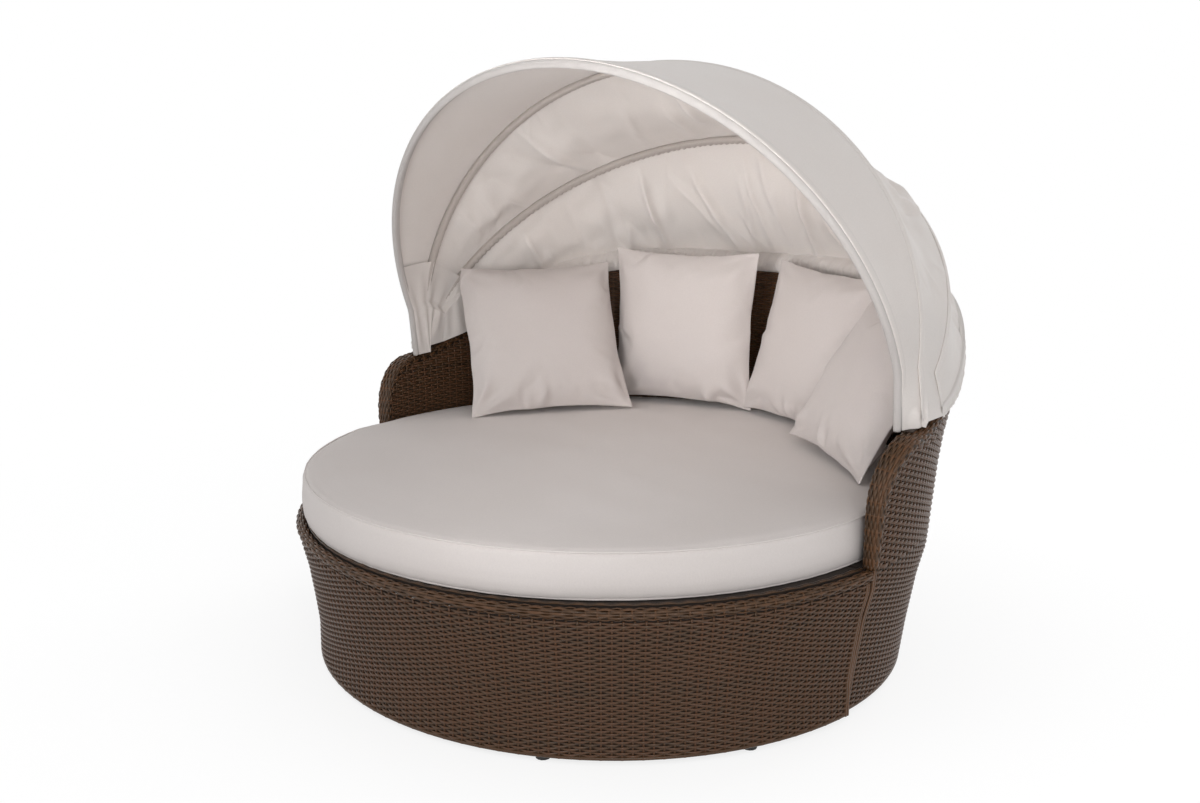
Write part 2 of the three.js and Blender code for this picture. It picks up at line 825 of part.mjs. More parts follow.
function bracket() {
  const near = ear_inner_x - bracket_inset;
  const far = ear_outer_x + ear_thickness + bracket_overrun;
  const plate = new THREE.BoxGeometry(far - near, bracket_length, ear_thickness);
  placeOnCrest(plate, (near + far) / 2, 0, bracket_lift + ear_thickness / 2);
  const plate_z = crestHeight(pivot_y) + ear_thickness / 2;
  const ears = [ear_inner_x, ear_outer_x].flatMap((x) => {
    const web = new THREE.BoxGeometry(ear_thickness, 2 * eye_radius, pivot_height - plate_z);
    web.translate(x + ear_thickness / 2, pivot_y, (pivot_height + plate_z) / 2);
    return [web, rodAlongX(x, x + ear_thickness, pivot_y, pivot_height, eye_radius, 16)];
  });
  const slope_floor = new THREE.BoxGeometry(2 * (far - near), 2 * bracket_length, bracket_length);
  placeOnCrest(slope_floor, (near + far) / 2, 0, bracket_lift - bracket_length / 2);
  const pin_hole = rodAlongX(
    near, far + ear_thickness, pivot_y, pivot_height, bolt_radius + touch_gap, 12,
  );
  const screw_holes = screwPlaces().map(({ x, offset }) => placeOnCrest(
    uprightRod(screw_radius + touch_gap, screw_depth, 8), x, offset, ear_thickness / 2,
  ));
  return cut(join([plate, ...ears]), [slope_floor, pin_hole, ...screw_holes]);
}

function bracketScrew({ x, offset }) {
  const head_base = bracket_lift + ear_thickness + touch_gap;
  const shank_length = head_base + screw_depth - touch_gap;
  const shank = placeOnCrest(
    uprightRod(screw_radius, shank_length, 8), x, offset, head_base - shank_length / 2,
  );
  const head = placeOnCrest(
    uprightRod(screw_head_radius, screw_head_height, 10), x, offset, head_base + screw_head_height / 2,
  );
  return join([shank, head]);
}

function braidScrewHoles() {
  return screwPlaces().map(({ x, offset }) => placeOnCrest(
    uprightRod(screw_radius + touch_gap, 2 * screw_depth, 8), x, offset, 0,
  ));
}

function pivotBolt() {
  const head_end = ear_inner_x - touch_gap;
  const tip = ear_outer_x + ear_thickness + touch_gap + nut_height + bolt_overrun;
  const at = (x0, x1, radius, sides) => rodAlongX(x0, x1, pivot_y, pivot_height, radius, sides);
  return join([
    at(head_end - bolt_head_height, head_end, bolt_head_radius, 16),
    at(head_end - bolt_head_height / 2, tip, bolt_radius, 12),
  ]);
}

function drilledRod(x0, x1, radius, sides) {
  const overrun = x1 - x0;
  const hole = rodAlongX(x0 - overrun, x1 + overrun, pivot_y, pivot_height, bolt_radius + touch_gap, 12);
  return cut(rodAlongX(x0, x1, pivot_y, pivot_height, radius, sides), [hole]);
}

function pivotNut() {
  const start = ear_outer_x + ear_thickness + touch_gap;
  return drilledRod(start, start + nut_height, nut_radius, 6);
}

function pivotSpacer(inner, outer) {
  const start = inner.half_width + eye_thickness / 2 + touch_gap;
  const end = outer.half_width - eye_thickness / 2 - touch_gap;
  return drilledRod(start, end, spacer_radius, 12);
}

// Canopy cloth. Each line of the cloth runs down a bow to a point of the lower hem beside the pivot.

const hem_place_shares = new Map([
  [front_bow, { out: 0.11, back: -0.35, up: -0.23 }],
  [middle_bow, { out: 0.44, back: -0.03, up: -0.15 }],
  [rear_bow, { out: 0.46, back: 0.73, up: 0.05 }],
]);
const facing_place_shares = new Map([
  [front_bow, { out: -0.12, back: -0.35, up: -0.23 }],
  [middle_bow, { out: -0.34, back: 0.08, up: -0.19 }],
  [rear_bow, { out: -0.66, back: 1.95, up: 0.41 }],
]);

function besidePivot(bow, shares) {
  const { out, back, up } = shares.get(bow);
  return {
    x: bow.half_width + out * hem_reach,
    y: pivot_y + back * hem_reach,
    z: pivot_height + up * hem_reach,
  };
}

function clothPoint(bow, row, lift) {
  const at = row - leg_row_count;
  if (at >= 0 && at <= bow_steps) {
    return bowPoint(bow, bowTurn(at), lift);
  }
  const side = at < 0 ? 1 : -1;
  const down = (at < 0 ? -at : at - bow_steps) / leg_row_count;
  const hem = besidePivot(bow, hem_place_shares);
  const end = new THREE.Vector3(side * (hem.x + lift - cloth_lift), hem.y, hem.z);
  return bowPoint(bow, at < 0 ? 0 : Math.PI, lift).lerp(end, down);
}

function foldWave(row, rows) {
  return Math.cos((2 * Math.PI * fold_count * row) / (rows - 1));
}

// How freely the cloth sags at a row: not at all over the facing, and fully further up
function rowFreedom(row, rows, fixed) {
  const from_end = Math.min(row, rows - 1 - row) - fixed;
  return Math.min(Math.max(from_end, 0) / 4, 1);
}

// How far a share across a width of cloth sags, with flat ends
function belly(share, width) {
  return Math.sin(Math.PI * share) ** 2 * Math.min(width / cloth_full_width, 1);
}

// Cloth between two bows, with a sag and folds that run from bow to bow
function clothPanel(first, second, span_count, sag, folds) {
  const rows = bow_steps + 1 + 2 * leg_row_count;
  const heart = new THREE.Vector3(0, pivot_y, pivot_height);
  return slab(rows, span_count + 1, (i, j, side) => {
    const lift = cloth_lift + side * cloth_thickness;
    const from = clothPoint(first, i, lift);
    const to = clothPoint(second, i, lift);
    const width = from.distanceTo(to);
    const margin = cloth_gap / width;
    const share = margin + ((1 - 2 * margin) * j) / span_count;
    const point = from.lerp(to, share);
    const give = belly(share, width) * rowFreedom(i, rows, leg_row_count + gusset_row_count);
    const inward = heart.clone().sub(point).normalize();
    return point.addScaledVector(inward, give * (sag - folds * foldWave(i, rows)));
  });
}

// Height that the rear hem hangs below the wall's top edge, from the arms to the back
const hem_drop_shares = [[0, 0], [0.04, 0.09], [0.15, 0.95], [0.2, 1], [1, 1]];

function rearHem(i) {
  const hem_end = besidePivot(rear_bow, hem_place_shares).y + wrap_lift;
  const start = Math.acos(-hem_end / (wallOuterRadius(arm_height) + wrap_lift));
  const share = i / bow_steps;
  const angle = start + 2 * (Math.PI - start) * share;
  const top = insetHeight((radius) => ({ x: radius * Math.sin(angle), y: -radius * Math.cos(angle) }), 0);
  const nearness = Math.min(share, 1 - share) * 2;
  const drop = -hem_raise + (hem_raise + hem_drop) * lookup(hem_drop_shares, nearness);
  return { angle, top, hem: top - drop };
}

function wrapPoint(angle, z, top, lift) {
  const radius = wallOuterRadius(Math.min(z, top)) + lift;
  return new THREE.Vector3(radius * Math.sin(angle), -radius * Math.cos(angle), z);
}

// Cloth from the rear bow over the top edge of the back and down its outside
function rearClothPanel() {
  const span_count = panel_span_count;
  const heart = new THREE.Vector3(0, pivot_y, pivot_height);
  return slab(bow_steps + 1, span_count + 1 + wrap_row_count, (i, j, side) => {
    const { angle, top, hem } = rearHem(i);
    const lift = wrap_lift + side * cloth_thickness;
    const brim_z = Math.max(top + wrap_lift / 2, hem + wrap_lift) + side * cloth_thickness;
    const brim = wrapPoint(angle, brim_z, top, lift);
    if (j > span_count) {
      const down = (j - span_count) / wrap_row_count;
      return wrapPoint(angle, brim_z + (hem - brim_z) * down, top, lift);
    }
    const from = bowPoint(rear_bow, bowTurn(i), cloth_lift + side * cloth_thickness);
    const width = from.distanceTo(brim);
    const margin = cloth_gap / width;
    const share = margin + ((1 - margin) * j) / span_count;
    const point = from.lerp(brim, share);
    const give = belly(share, width) * rowFreedom(i, bow_steps + 1, 0);
    const inward = heart.clone().sub(point).normalize();
    return point.addScaledVector(inward, give * (cloth_sag - fold_height * foldWave(i, bow_steps + 1)));
  });
}

// Inner facing that covers the pivots, from the arm's top edge up the legs of two bows
function facingPoint(bow, row, lift) {
  const at = row - leg_row_count;
  if (at > 0) {
    return bowPoint(bow, bowTurn(at), -lift);
  }
  const foot = besidePivot(bow, facing_place_shares);
  const leg_top = legPoint(bow, front_bow.half_width - lift, bow_leg);
  const end = new THREE.Vector3(foot.x - lift + cloth_lift, foot.y, foot.z);
  return leg_top.lerp(end, -at / leg_row_count);
}

function facingPanel(first, second) {
  const span_count = facing_span_count;
  return slab(leg_row_count + 1 + gusset_row_count, span_count + 1, (i, j, side) => {
    const lift = cloth_lift + side * cloth_thickness;
    const from = facingPoint(first, i, lift);
    const to = facingPoint(second, i, lift);
    const margin = cloth_gap / from.distanceTo(to);
    return from.lerp(to, margin + ((1 - 2 * margin) * j) / span_count);
  });
}

// Mattress: a round boxed cushion with piped edges, drawn-in sides and a low crown
const mattress_side_shares = [
  [0.985, 0], [1, 0.04], [0.993, 0.12], [1, 0.5], [0.993, 0.88], [1, 0.95], [0.99, 1],
];
const mattress_crown_shares = [[0.99, 0], [0.95, 0.4], [0.85, 0.65], [0.55, 0.92], [0, 1]];

function mattressTop(x, y) {
  const out = Math.hypot(x - mattress_x, y - mattress_y) / mattress_radius;
  const rising = mattress_crown_shares.slice().reverse();
  return deck_height + edge_gap + mattress_thickness + mattress_crown * lookup(rising, out);
}

// Where the wall's inside presses the mattress in, its points move in towards the base's middle. The
// press fades out in front of the arms.
function pressIn(x, y) {
  const out = Math.hypot(x, y);
  const room = wall_inner_radius - mattress_squeeze;
  const beside = Math.min(Math.max((y - seam_y + press_fade) / press_fade, 0), 1);
  const along = Math.hypot(x - mattress_x, y - mattress_y) / mattress_radius;
  const reach = along > 0 ? out / along : room;
  const share = 1 + beside * along * (Math.min(room / reach, 1) - 1);
  return { x: x * share, y: y * share };
}

function mattress() {
  const base = deck_height + edge_gap;
  const side = mattress_side_shares
    .map(([out, up]) => new THREE.Vector2(out * mattress_radius, base + up * mattress_thickness));
  const top = base + mattress_thickness;
  const crown = mattress_crown_shares.slice(1)
    .map(([out, up]) => new THREE.Vector2(out * mattress_radius, top + up * mattress_crown));
  const profile = [new THREE.Vector2(0, base), ...side, ...crown];
  const geometry = new THREE.LatheGeometry(profile, mattress_sides);
  geometry.rotateX(Math.PI / 2);
  geometry.translate(mattress_x, mattress_y, 0);
  const corners = geometry.attributes.position;
  for (let i = 0; i < corners.count; i += 1) {
    const place = pressIn(corners.getX(i), corners.getY(i));
    corners.setXY(i, place.x, place.y);
  }
  return geometry;
}

// Pillow: a square knife-edged cushion, full in the middle, with sides drawn in between its corners
const pillow_pinch_share = 0.065;
const pillow_edge_shares = [-1, -0.93, -0.8, -0.58, -0.3, 0, 0.3, 0.58, 0.8, 0.93, 1];
const pillow_fullness = 0.42;

function pillow(place) {
  const count = pillow_edge_shares.length;
  const size = place.size * pillow_size;
  const loft = place.loft * pillow_loft;
  return slab(count, count, (i, j, side) => {
    const [u, v] = [pillow_edge_shares[i], pillow_edge_shares[j]];
    const full = Math.max((1 - u * u) * (1 - v * v), 0) ** pillow_fullness;
    const half = pillow_seam / 2 + ((loft - pillow_seam) / 2) * full;
    const x = (size / 2) * u * (1 - pillow_pinch_share * (1 - v * v));
    const z = (size / 2) * v * (1 - pillow_pinch_share * (1 - u * u));
    return new THREE.Vector3(x, (side === 0 ? 1 : -1) * half, z);
  });
}

// Turns a pillow as it leans, and lowers it until it rests on the mattress
function placePillow(mesh, place) {
  mesh.rotation.set(radians(-place.lean), radians(place.roll), radians(place.yaw), 'ZXY');
  mesh.position.set(place.x * mattress_radius, place.y * mattress_radius, 0);
  mesh.updateMatrix();
  const corners = mesh.geometry.attributes.position;
  let room = Infinity;
  for (let i = 0; i < corners.count; i += 1) {
    const corner = new THREE.Vector3().fromBufferAttribute(corners, i).applyMatrix4(mesh.matrix);
    room = Math.min(room, corner.z - mattressTop(corner.x, corner.y));
  }
  mesh.position.z = edge_gap - room;
}

// Rear section
addPiece('rear_frame', rearFrame(), 'frame');
addPiece('rear_base_weave', rearBaseWeave(), 'wicker');
addPiece('rear_front_panel', rearFrontPanel(), 'wicker');
const rear_deck_edge = seam_y + weave_thickness + touch_gap;
addPiece('rear_deck', deck(wall_inner_radius + weave_thickness, rear_deck_edge, true), 'wicker');
addPiece('back_outer_weave', backOuterWeave(), 'wicker');
addPiece('back_inner_weave', backInnerWeave(), 'wicker');
const screw_holes = braidScrewHoles();
const screw_holes_left = screw_holes.map(mirrored);
addPiece('back_edge_braid', cut(backEdgeBraid(), [...screw_holes, ...screw_holes_left]), 'braid');
rear_glide_degrees.forEach((degrees, i) => {
  addPiece(`rear_glide_${i + 1}`, glide(rear_floor_ring, degrees), 'glide');
});

// Front section
addPiece('front_frame', frontFrame(), 'frame');
addPiece('front_weave', frontWeave(), 'wicker');
addPiece('front_back_panel', frontBackPanel(), 'wicker');
addPiece('front_rim_braid', frontRimBraid(), 'braid');
const front_deck_radius = rim_radius - 2 * rim_half_width - edge_gap;
const front_deck_edge = seam_y - seam_gap - weave_thickness - touch_gap;
addPiece('front_deck', deck(front_deck_radius, front_deck_edge, false), 'wicker');
front_glide_degrees.forEach((degrees, i) => {
  addPiece(`front_glide_${i + 1}`, glide(front_floor_ring, degrees), 'glide');
});

// Pivot hardware
const hardware = [
  ['pivot_bracket', bracket(), 'frame'],
  ['pivot_bolt', pivotBolt(), 'steel'],
  ['pivot_nut', pivotNut(), 'steel'],
  ['pivot_spacer_inner', pivotSpacer(front_bow, middle_bow), 'glide'],
  ['pivot_spacer_outer', pivotSpacer(middle_bow, rear_bow), 'glide'],
  ['bracket_screw_front', bracketScrew(screwPlaces()[0]), 'steel'],
  ['bracket_screw_rear', bracketScrew(screwPlaces()[1]), 'steel'],
];
for (const [name, geometry, look] of hardware) {
  addPiece(`${name}_right`, geometry, look);
  addPiece(`${name}_left`, mirrored(geometry), look);
}

// Canopy
addPiece('bow_front', canopyBow(front_bow), 'bow');
addPiece('bow_middle', canopyBow(middle_bow), 'bow');
addPiece('bow_rear', canopyBow(rear_bow), 'bow');
addPiece('canopy_front_band', clothPanel(front_bow, middle_bow, band_span_count, 0, 0), 'canopy');
const top_panel = clothPanel(middle_bow, rear_bow, panel_span_count, cloth_sag, fold_height);
addPiece('canopy_top_panel', top_panel, 'canopy');
addPiece('canopy_rear_panel', rearClothPanel(), 'canopy');
const facings = [
  ['canopy_facing_front', facingPanel(front_bow, middle_bow)],
  ['canopy_facing_rear', facingPanel(middle_bow, rear_bow)],
];
for (const [name, geometry] of facings) {
  addPiece(`${name}_right`, geometry, 'canopy');
  addPiece(`${name}_left`, mirrored(geometry), 'canopy');
}

// Cushions
addPiece('mattress', mattress(), 'cushion');
pillow_place_shares.forEach((place, i) => {
  placePillow(addPiece(`pillow_${i + 1}`, pillow(place), 'cushion'), place);
});

export default daybed;
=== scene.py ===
"""Looks of the round outdoor daybed with a canopy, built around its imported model, in metres.

The shapes are written about the middle of the base circle. Shape.make moves them to the frame's origin.
"""

import math

import bpy
import numpy as np
from mathutils import Matrix, Vector


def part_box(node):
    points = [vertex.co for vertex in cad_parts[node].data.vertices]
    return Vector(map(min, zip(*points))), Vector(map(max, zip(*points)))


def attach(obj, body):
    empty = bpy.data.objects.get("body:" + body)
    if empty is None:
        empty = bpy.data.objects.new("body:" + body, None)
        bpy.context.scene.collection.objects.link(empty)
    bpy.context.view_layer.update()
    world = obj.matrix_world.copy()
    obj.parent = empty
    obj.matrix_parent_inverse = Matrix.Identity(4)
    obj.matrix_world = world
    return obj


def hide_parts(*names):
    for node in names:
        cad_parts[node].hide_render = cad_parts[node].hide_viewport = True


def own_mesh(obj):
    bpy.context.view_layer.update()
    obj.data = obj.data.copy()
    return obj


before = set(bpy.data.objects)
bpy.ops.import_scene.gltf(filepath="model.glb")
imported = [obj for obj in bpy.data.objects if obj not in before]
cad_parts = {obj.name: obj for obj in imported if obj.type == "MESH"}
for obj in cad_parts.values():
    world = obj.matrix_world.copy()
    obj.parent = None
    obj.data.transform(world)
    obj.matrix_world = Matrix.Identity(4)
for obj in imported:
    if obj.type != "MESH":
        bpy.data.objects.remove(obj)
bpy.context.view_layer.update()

# ---------------------------------------------------------------- sizes, in metres
SEAM_Y = -0.105                      # where the two sections meet
SEAM_GAP = 0.002
FOOT = 0.012                         # lower edge of the skirts
DECK = 0.396
ARM, BACK = 0.707, 0.992             # tops of the arms and of the back
ARM_DEPTH, ARM_RISE = 0.150, 0.175   # the quarter oval of an arm's front edge
BACK_DEPTH = 0.805
RIM_R = 0.887
RIM_DROP = 0.014                     # from the deck's height to the middle of the rim
BRAID_DEPTH = 0.022
MARGIN = 0.001
SHIFT_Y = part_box("front_rim_braid")[0][1] + RIM_R   # from the base circle's middle to the frame's origin
REAR_TOP = DECK - MARGIN
FRONT_TOP = DECK - 2 * RIM_DROP - MARGIN

PIVOT_Y, PIVOT_Z = 0.075, 0.735
HEART = np.array([0.0, PIVOT_Y, PIVOT_Z])           # midway between the pivots
LEG = 0.132                                         # straight part of a bow
LIFT = 0.0099                                       # from a bow's middle line to its cloth
BOWS = {"front": (0.852, 0.792), "middle": (0.865, 0.749), "rear": (0.878, 0.749)}   # half width, rise
TILTS = {"front": 22.4, "middle": -9.0, "rear": -41.0, "brim": -72.0}
FOLDED_SHARE = {"front": 0.355, "middle": 0.367, "rear": 0.347}
HEMS = {"front": (0.863, 0.040, 0.712), "middle": (0.909, 0.072, 0.720), "rear": (0.924, 0.148, 0.740)}
FACING_FEET = {"front": (0.840, 0.040, 0.712), "middle": (0.831, 0.083, 0.716), "rear": (0.842, 0.150, 0.741)}
FACING_END = (0.812, 0.270, 0.776)

MATTRESS_R, MATTRESS_H, CROWN = 0.848, 0.118, 0.013
MATTRESS_AT = np.array([-0.022, -0.002, 0.0])
MATTRESS_ROOM = 0.846                # radius at which the wall presses the mattress in

STAKE_STEP = 2 * math.pi / 216
UP = np.array([0.0, 0.0, 1.0])
MIRROR = np.array([-1, 1, 1])


# ---------------------------------------------------------------- arrays
def lookup(table, x):
    return np.interp(x, *zip(*table))


def skin(radius, reach, table, low, high):
    """The radius at a height of a skin that leans out by reach from low to high."""
    return lambda z: radius + reach * lookup(table, (z - low) / (high - low))


front_radius = skin(0.838, 0.042, [(0, 0), (0.24, -0.02), (0.45, 0.22), (0.7, 0.56), (0.86, 0.93), (1, 1)],
                    FOOT, DECK)
rear_radius = skin(0.822, 0.062, [(0, 0), (0.3, 0.24), (0.66, 0.61), (0.87, 0.93), (1, 1)], FOOT, DECK)
wall_outer = skin(0.884, 0.076, [(0, 0), (0.29, 0.18), (0.43, 0.32), (0.62, 0.62), (1, 1)], DECK, BACK)
wall_inner = skin(0.850, 0.055, [(0, 0), (0.35, 0), (0.52, 0.12), (0.75, 0.5), (1, 1)], DECK, BACK)


def wall_middle(z):
    return (wall_outer(z) + wall_inner(z)) / 2


def front_ends(radius, inset=0.0):
    """Angles from the front at which a ring of the front section ends."""
    end = np.arccos((SEAM_GAP - SEAM_Y) / radius) - inset
    return -end, end


def rear_ends(radius, inset=0.0):
    start = np.arccos(-SEAM_Y / radius) + inset
    return start, 2 * math.pi - start


def rise_height(y):
    """Height of the wall's top edge, which rises in one curve from the arms to the back."""
    t = np.clip((y - (SEAM_Y + ARM_DEPTH)) / BACK_DEPTH, -1, 1)
    rise = 0.5 * (t - 2 * t * t + t ** 3) + 3 * t * t - 2 * t ** 3
    return ARM + (BACK - ARM) * rise


def edge_height(angle, inset):
    """Height of a line inside the wall's top edge, at angles from the front."""
    z = np.full(np.shape(angle), BACK)
    for _ in range(12):
        y = -wall_middle(z) * np.cos(angle)
        slope = (rise_height(y + 0.004) - rise_height(y - 0.004)) / 0.008
        z = rise_height(y) - inset * np.hypot(1, slope * np.abs(np.sin(angle)))
    return z


def edge_line(inset, radius_at, arm_points=60, back_points=160):
    """Angle and height along the wall's edge, from the right arm's foot to the middle of the back."""
    arm_y = SEAM_Y + ARM_DEPTH
    foot_z = np.linspace(DECK + 0.0003, ARM - ARM_RISE, 30)[:-1]
    turn = np.linspace(0, math.pi / 2, arm_points)
    z_arm = ARM - ARM_RISE + (ARM_RISE - inset) * np.sin(turn)
    y_arm = arm_y - (ARM_DEPTH - inset) * np.cos(turn)
    y_foot = np.full(foot_z.shape, arm_y - ARM_DEPTH + inset)
    share = np.linspace(0, 1, back_points)[1:]
    first = math.acos(-arm_y / 0.93)
    z_back = edge_height(first + (math.pi - first) * share, inset)
    z_front, y_front = np.concatenate([foot_z, z_arm]), np.concatenate([y_foot, y_arm])
    start = np.arccos(-arm_y / radius_at(z_back))
    angle = np.concatenate([np.arccos(-y_front / radius_at(z_front)), start + (math.pi - start) * share])
    return angle, np.maximum.accumulate(np.concatenate([z_front, z_back]))


def polar(radius, angle, z):
    return np.stack(np.broadcast_arrays(radius * np.sin(angle), -radius * np.cos(angle), z), axis=-1)


def unit(v):
    return v / np.maximum(np.linalg.norm(v, axis=-1, keepdims=True), 1e-12)


def lean(radius_at, z):
    return (radius_at(z + 0.002) - radius_at(z - 0.002)) / 0.004


def outward(angle, tilt=0.0):
    """Normals of a round skin, with how much it leans out."""
    return unit(polar(1.0, angle, -tilt))


def lengths(path):
    return np.concatenate([[0], np.cumsum(np.linalg.norm(np.diff(path, axis=0), axis=1))])


def resample(path, places):
    return np.stack([np.interp(places, lengths(path), column) for column in path.T], -1)


def smooth(line, times):
    """Smooths a line of points in place, apart from its ends."""
    for _ in range(times):
        line[1:-1] = (line[:-2] + 2 * line[1:-1] + line[2:]) / 4


def wobble(p, size, seed, terms=7):
    """Smooth noise of about +-1 from a few sine waves of a size, the same each run."""
    r = np.random.default_rng(seed)
    total = np.zeros(p.shape[:-1])
    for _ in range(terms):
        d = unit(r.normal(size=p.shape[-1])) * 2 * math.pi / (size * r.uniform(0.7, 1.6))
        total += np.sin(p @ d + r.uniform(0, 2 * math.pi))
    return total / math.sqrt(terms)


def ease(x):
    x = np.clip(x, 0, 1)
    return x * x * (3 - 2 * x)


def from_ends(u):
    return np.minimum(u, 1 - u)


# ---------------------------------------------------------------- meshes
class Shape:
    """Collects vertices, faces and point values for one mesh."""

    def __init__(self):
        self.verts, self.faces, self.tones, self.flats, self.count = [], [], [], [], 0

    def add(self, verts, faces, tone=0.5, flat=None):
        verts = np.asarray(verts, float).reshape(-1, 3)
        self.verts.append(verts)
        for face in faces:
            self.faces.extend((np.asarray(face) + self.count).tolist())
        self.tones.append(np.broadcast_to(np.asarray(tone, float), (len(verts),)))
        flat = np.zeros((len(verts), 3)) if flat is None else flat
        self.flats.append(np.asarray(flat, float).reshape(-1, 3))
        self.count += len(verts)

    def bar(self, path, across, out, section, tone=0.5, flip=False):
        """Adds a bar along a path, with one tone or a tone for each of the path's points."""
        verts, faces = sweep(path, across, out, section)
        self.add(verts, turned_over(faces) if flip else faces,
                 np.repeat(tone, len(verts) // len(path)) if np.ndim(tone) else tone)

    def make(self, name, look, body, stands_for=(), normals=None):
        mesh = bpy.data.meshes.new(name)
        mesh.from_pydata((np.concatenate(self.verts) + np.array([0, SHIFT_Y, 0])).tolist(), [], self.faces)
        mesh.polygons.foreach_set("use_smooth", np.ones(len(mesh.polygons), bool))
        tone = mesh.attributes.new("tone", "FLOAT", "POINT")
        tone.data.foreach_set("value", np.concatenate(self.tones).astype(np.float32))
        flat = mesh.attributes.new("flat", "FLOAT_VECTOR", "POINT")
        flat.data.foreach_set("vector", np.concatenate(self.flats).astype(np.float32).ravel())
        if normals is not None:
            mesh.normals_split_custom_set_from_vertices(normals.tolist())
        mesh.update()
        mesh.materials.append(look)
        piece = bpy.data.objects.new(name, mesh)
        bpy.context.scene.collection.objects.link(piece)
        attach(piece, body)
        if stands_for:
            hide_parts(*stands_for)
        return piece


def turned_over(faces):
    return [face[:, ::-1] for face in faces]


def sweep(path, across, out, section, closed=False):
    """A bar along a path. The section's two columns go along across and along out."""
    section = np.asarray(section, float)
    across, out = np.broadcast_to(across, path.shape), np.broadcast_to(out, path.shape)
    verts = path[:, None, :] + section[..., 0:1] * across[:, None, :] + section[..., 1:2] * out[:, None, :]
    rings, sides = len(path), section.shape[-2]
    i = np.arange(rings if closed else rings - 1)[:, None]
    j = np.arange(sides)[None, :]
    k, m = (i + 1) % rings, (j + 1) % sides
    faces = [np.stack([i * sides + j, i * sides + m, k * sides + m, k * sides + j], -1).reshape(-1, 4)]
    if not closed:
        faces += [np.arange(sides)[None, ::-1], (rings - 1) * sides + np.arange(sides)[None, :]]
    return verts.reshape(-1, 3), faces


def oval(width, height, sides=6):
    turn = 2 * math.pi * (np.arange(sides) + 0.5) / sides
    return np.stack([width / 2 * np.cos(turn), height / 2 * np.sin(turn)], -1)


def grid_slab(points, normals, thickness):
    """A closed sheet of a thickness about a grid of points."""
    nu, nv = points.shape[:2]
    half = normals * thickness / 2
    verts = np.concatenate([(points + half).reshape(-1, 3), (points - half).reshape(-1, 3)])
    n = nu * nv
    ids = np.arange(n).reshape(nu, nv)
    top = np.stack([ids[:-1, :-1], ids[1:, :-1], ids[1:, 1:], ids[:-1, 1:]], -1).reshape(-1, 4)
    faces = [top, top[:, ::-1] + n]
    for line in (ids[0, :], ids[-1, ::-1], ids[::-1, 0], ids[:, -1]):
        faces.append(np.stack([line[:-1], line[1:], line[1:] + n, line[:-1] + n], -1))
    p = points[:-1, :-1]
    turned = np.cross(points[1:, :-1] - p, points[:-1, 1:] - p)
    return verts, turned_over(faces) if (turned * normals[:-1, :-1]).sum() < 0 else faces


# ---------------------------------------------------------------- materials
WEAVE_REPEAT = 0.0016                # two threads of the canvas


def node(tree, kind, inputs, **settings):
    """A shader node. inputs has a value, or a socket to link from, for an input's name or number."""
    made = tree.nodes.new("ShaderNode" + kind)
    for key, value in settings.items():
        setattr(made, key, value)
    for key, value in inputs.items():
        if isinstance(value, bpy.types.NodeSocket):
            tree.links.new(value, made.inputs[key])
        else:
            made.inputs[key].default_value = value
    return made


def new_look(name, **inputs):
    look = bpy.data.materials.new(name)
    look.use_nodes = True
    shader = look.node_tree.nodes["Principled BSDF"]
    for key, value in inputs.items():
        shader.inputs[key.replace("_", " ")].default_value = value
    return look, look.node_tree, shader


def noise(tree, scale, detail, roughness, vector):
    inputs = {"Scale": scale, "Detail": detail, "Roughness": roughness, "Vector": vector}
    return node(tree, "TexNoise", inputs).outputs["Fac"]


def ramp(tree, value, stops):
    made = node(tree, "ValToRGB", {"Fac": value})
    for element, (at, colour) in zip(made.color_ramp.elements, (stops[0], stops[-1])):
        element.position, element.color = at, colour
    for at, colour in stops[1:-1]:
        made.color_ramp.elements.new(at).color = colour
    return made.outputs["Color"]


def mix(tree, kind, share, a, b):
    return node(tree, "Mix", {0: share, 6: a, 7: b}, data_type="RGBA", blend_type=kind).outputs[2]


def maths(tree, kind, *values):
    return node(tree, "Math", dict(enumerate(values)), operation=kind).outputs[0]


def bump(tree, shader, height, strength, distance):
    made = node(tree, "Bump", {"Strength": strength, "Distance": distance, "Height": height})
    tree.links.new(made.outputs["Normal"], shader.inputs["Normal"])


def place(tree):
    return node(tree, "TexCoord", {}).outputs["Object"]


def attribute(tree, name, output):
    return node(tree, "Attribute", {}, attribute_name=name).outputs[output]


def seen(tree):
    """1 for what is looked at, straight or in a gloss, and 0 for light that a surface gathers."""
    rays = node(tree, "LightPath", {}).outputs
    shine = maths(tree, "MAXIMUM", rays["Is Glossy Ray"], rays["Is Transmission Ray"])
    return maths(tree, "MAXIMUM", rays["Is Camera Ray"], shine)


def srgb(*channels):
    """A colour of 0 to 255 as the shader's linear values."""
    shares = [c / 255 for c in channels]
    return (*(c / 12.92 if c <= 0.04045 else ((c + 0.055) / 1.055) ** 2.4 for c in shares), 1)


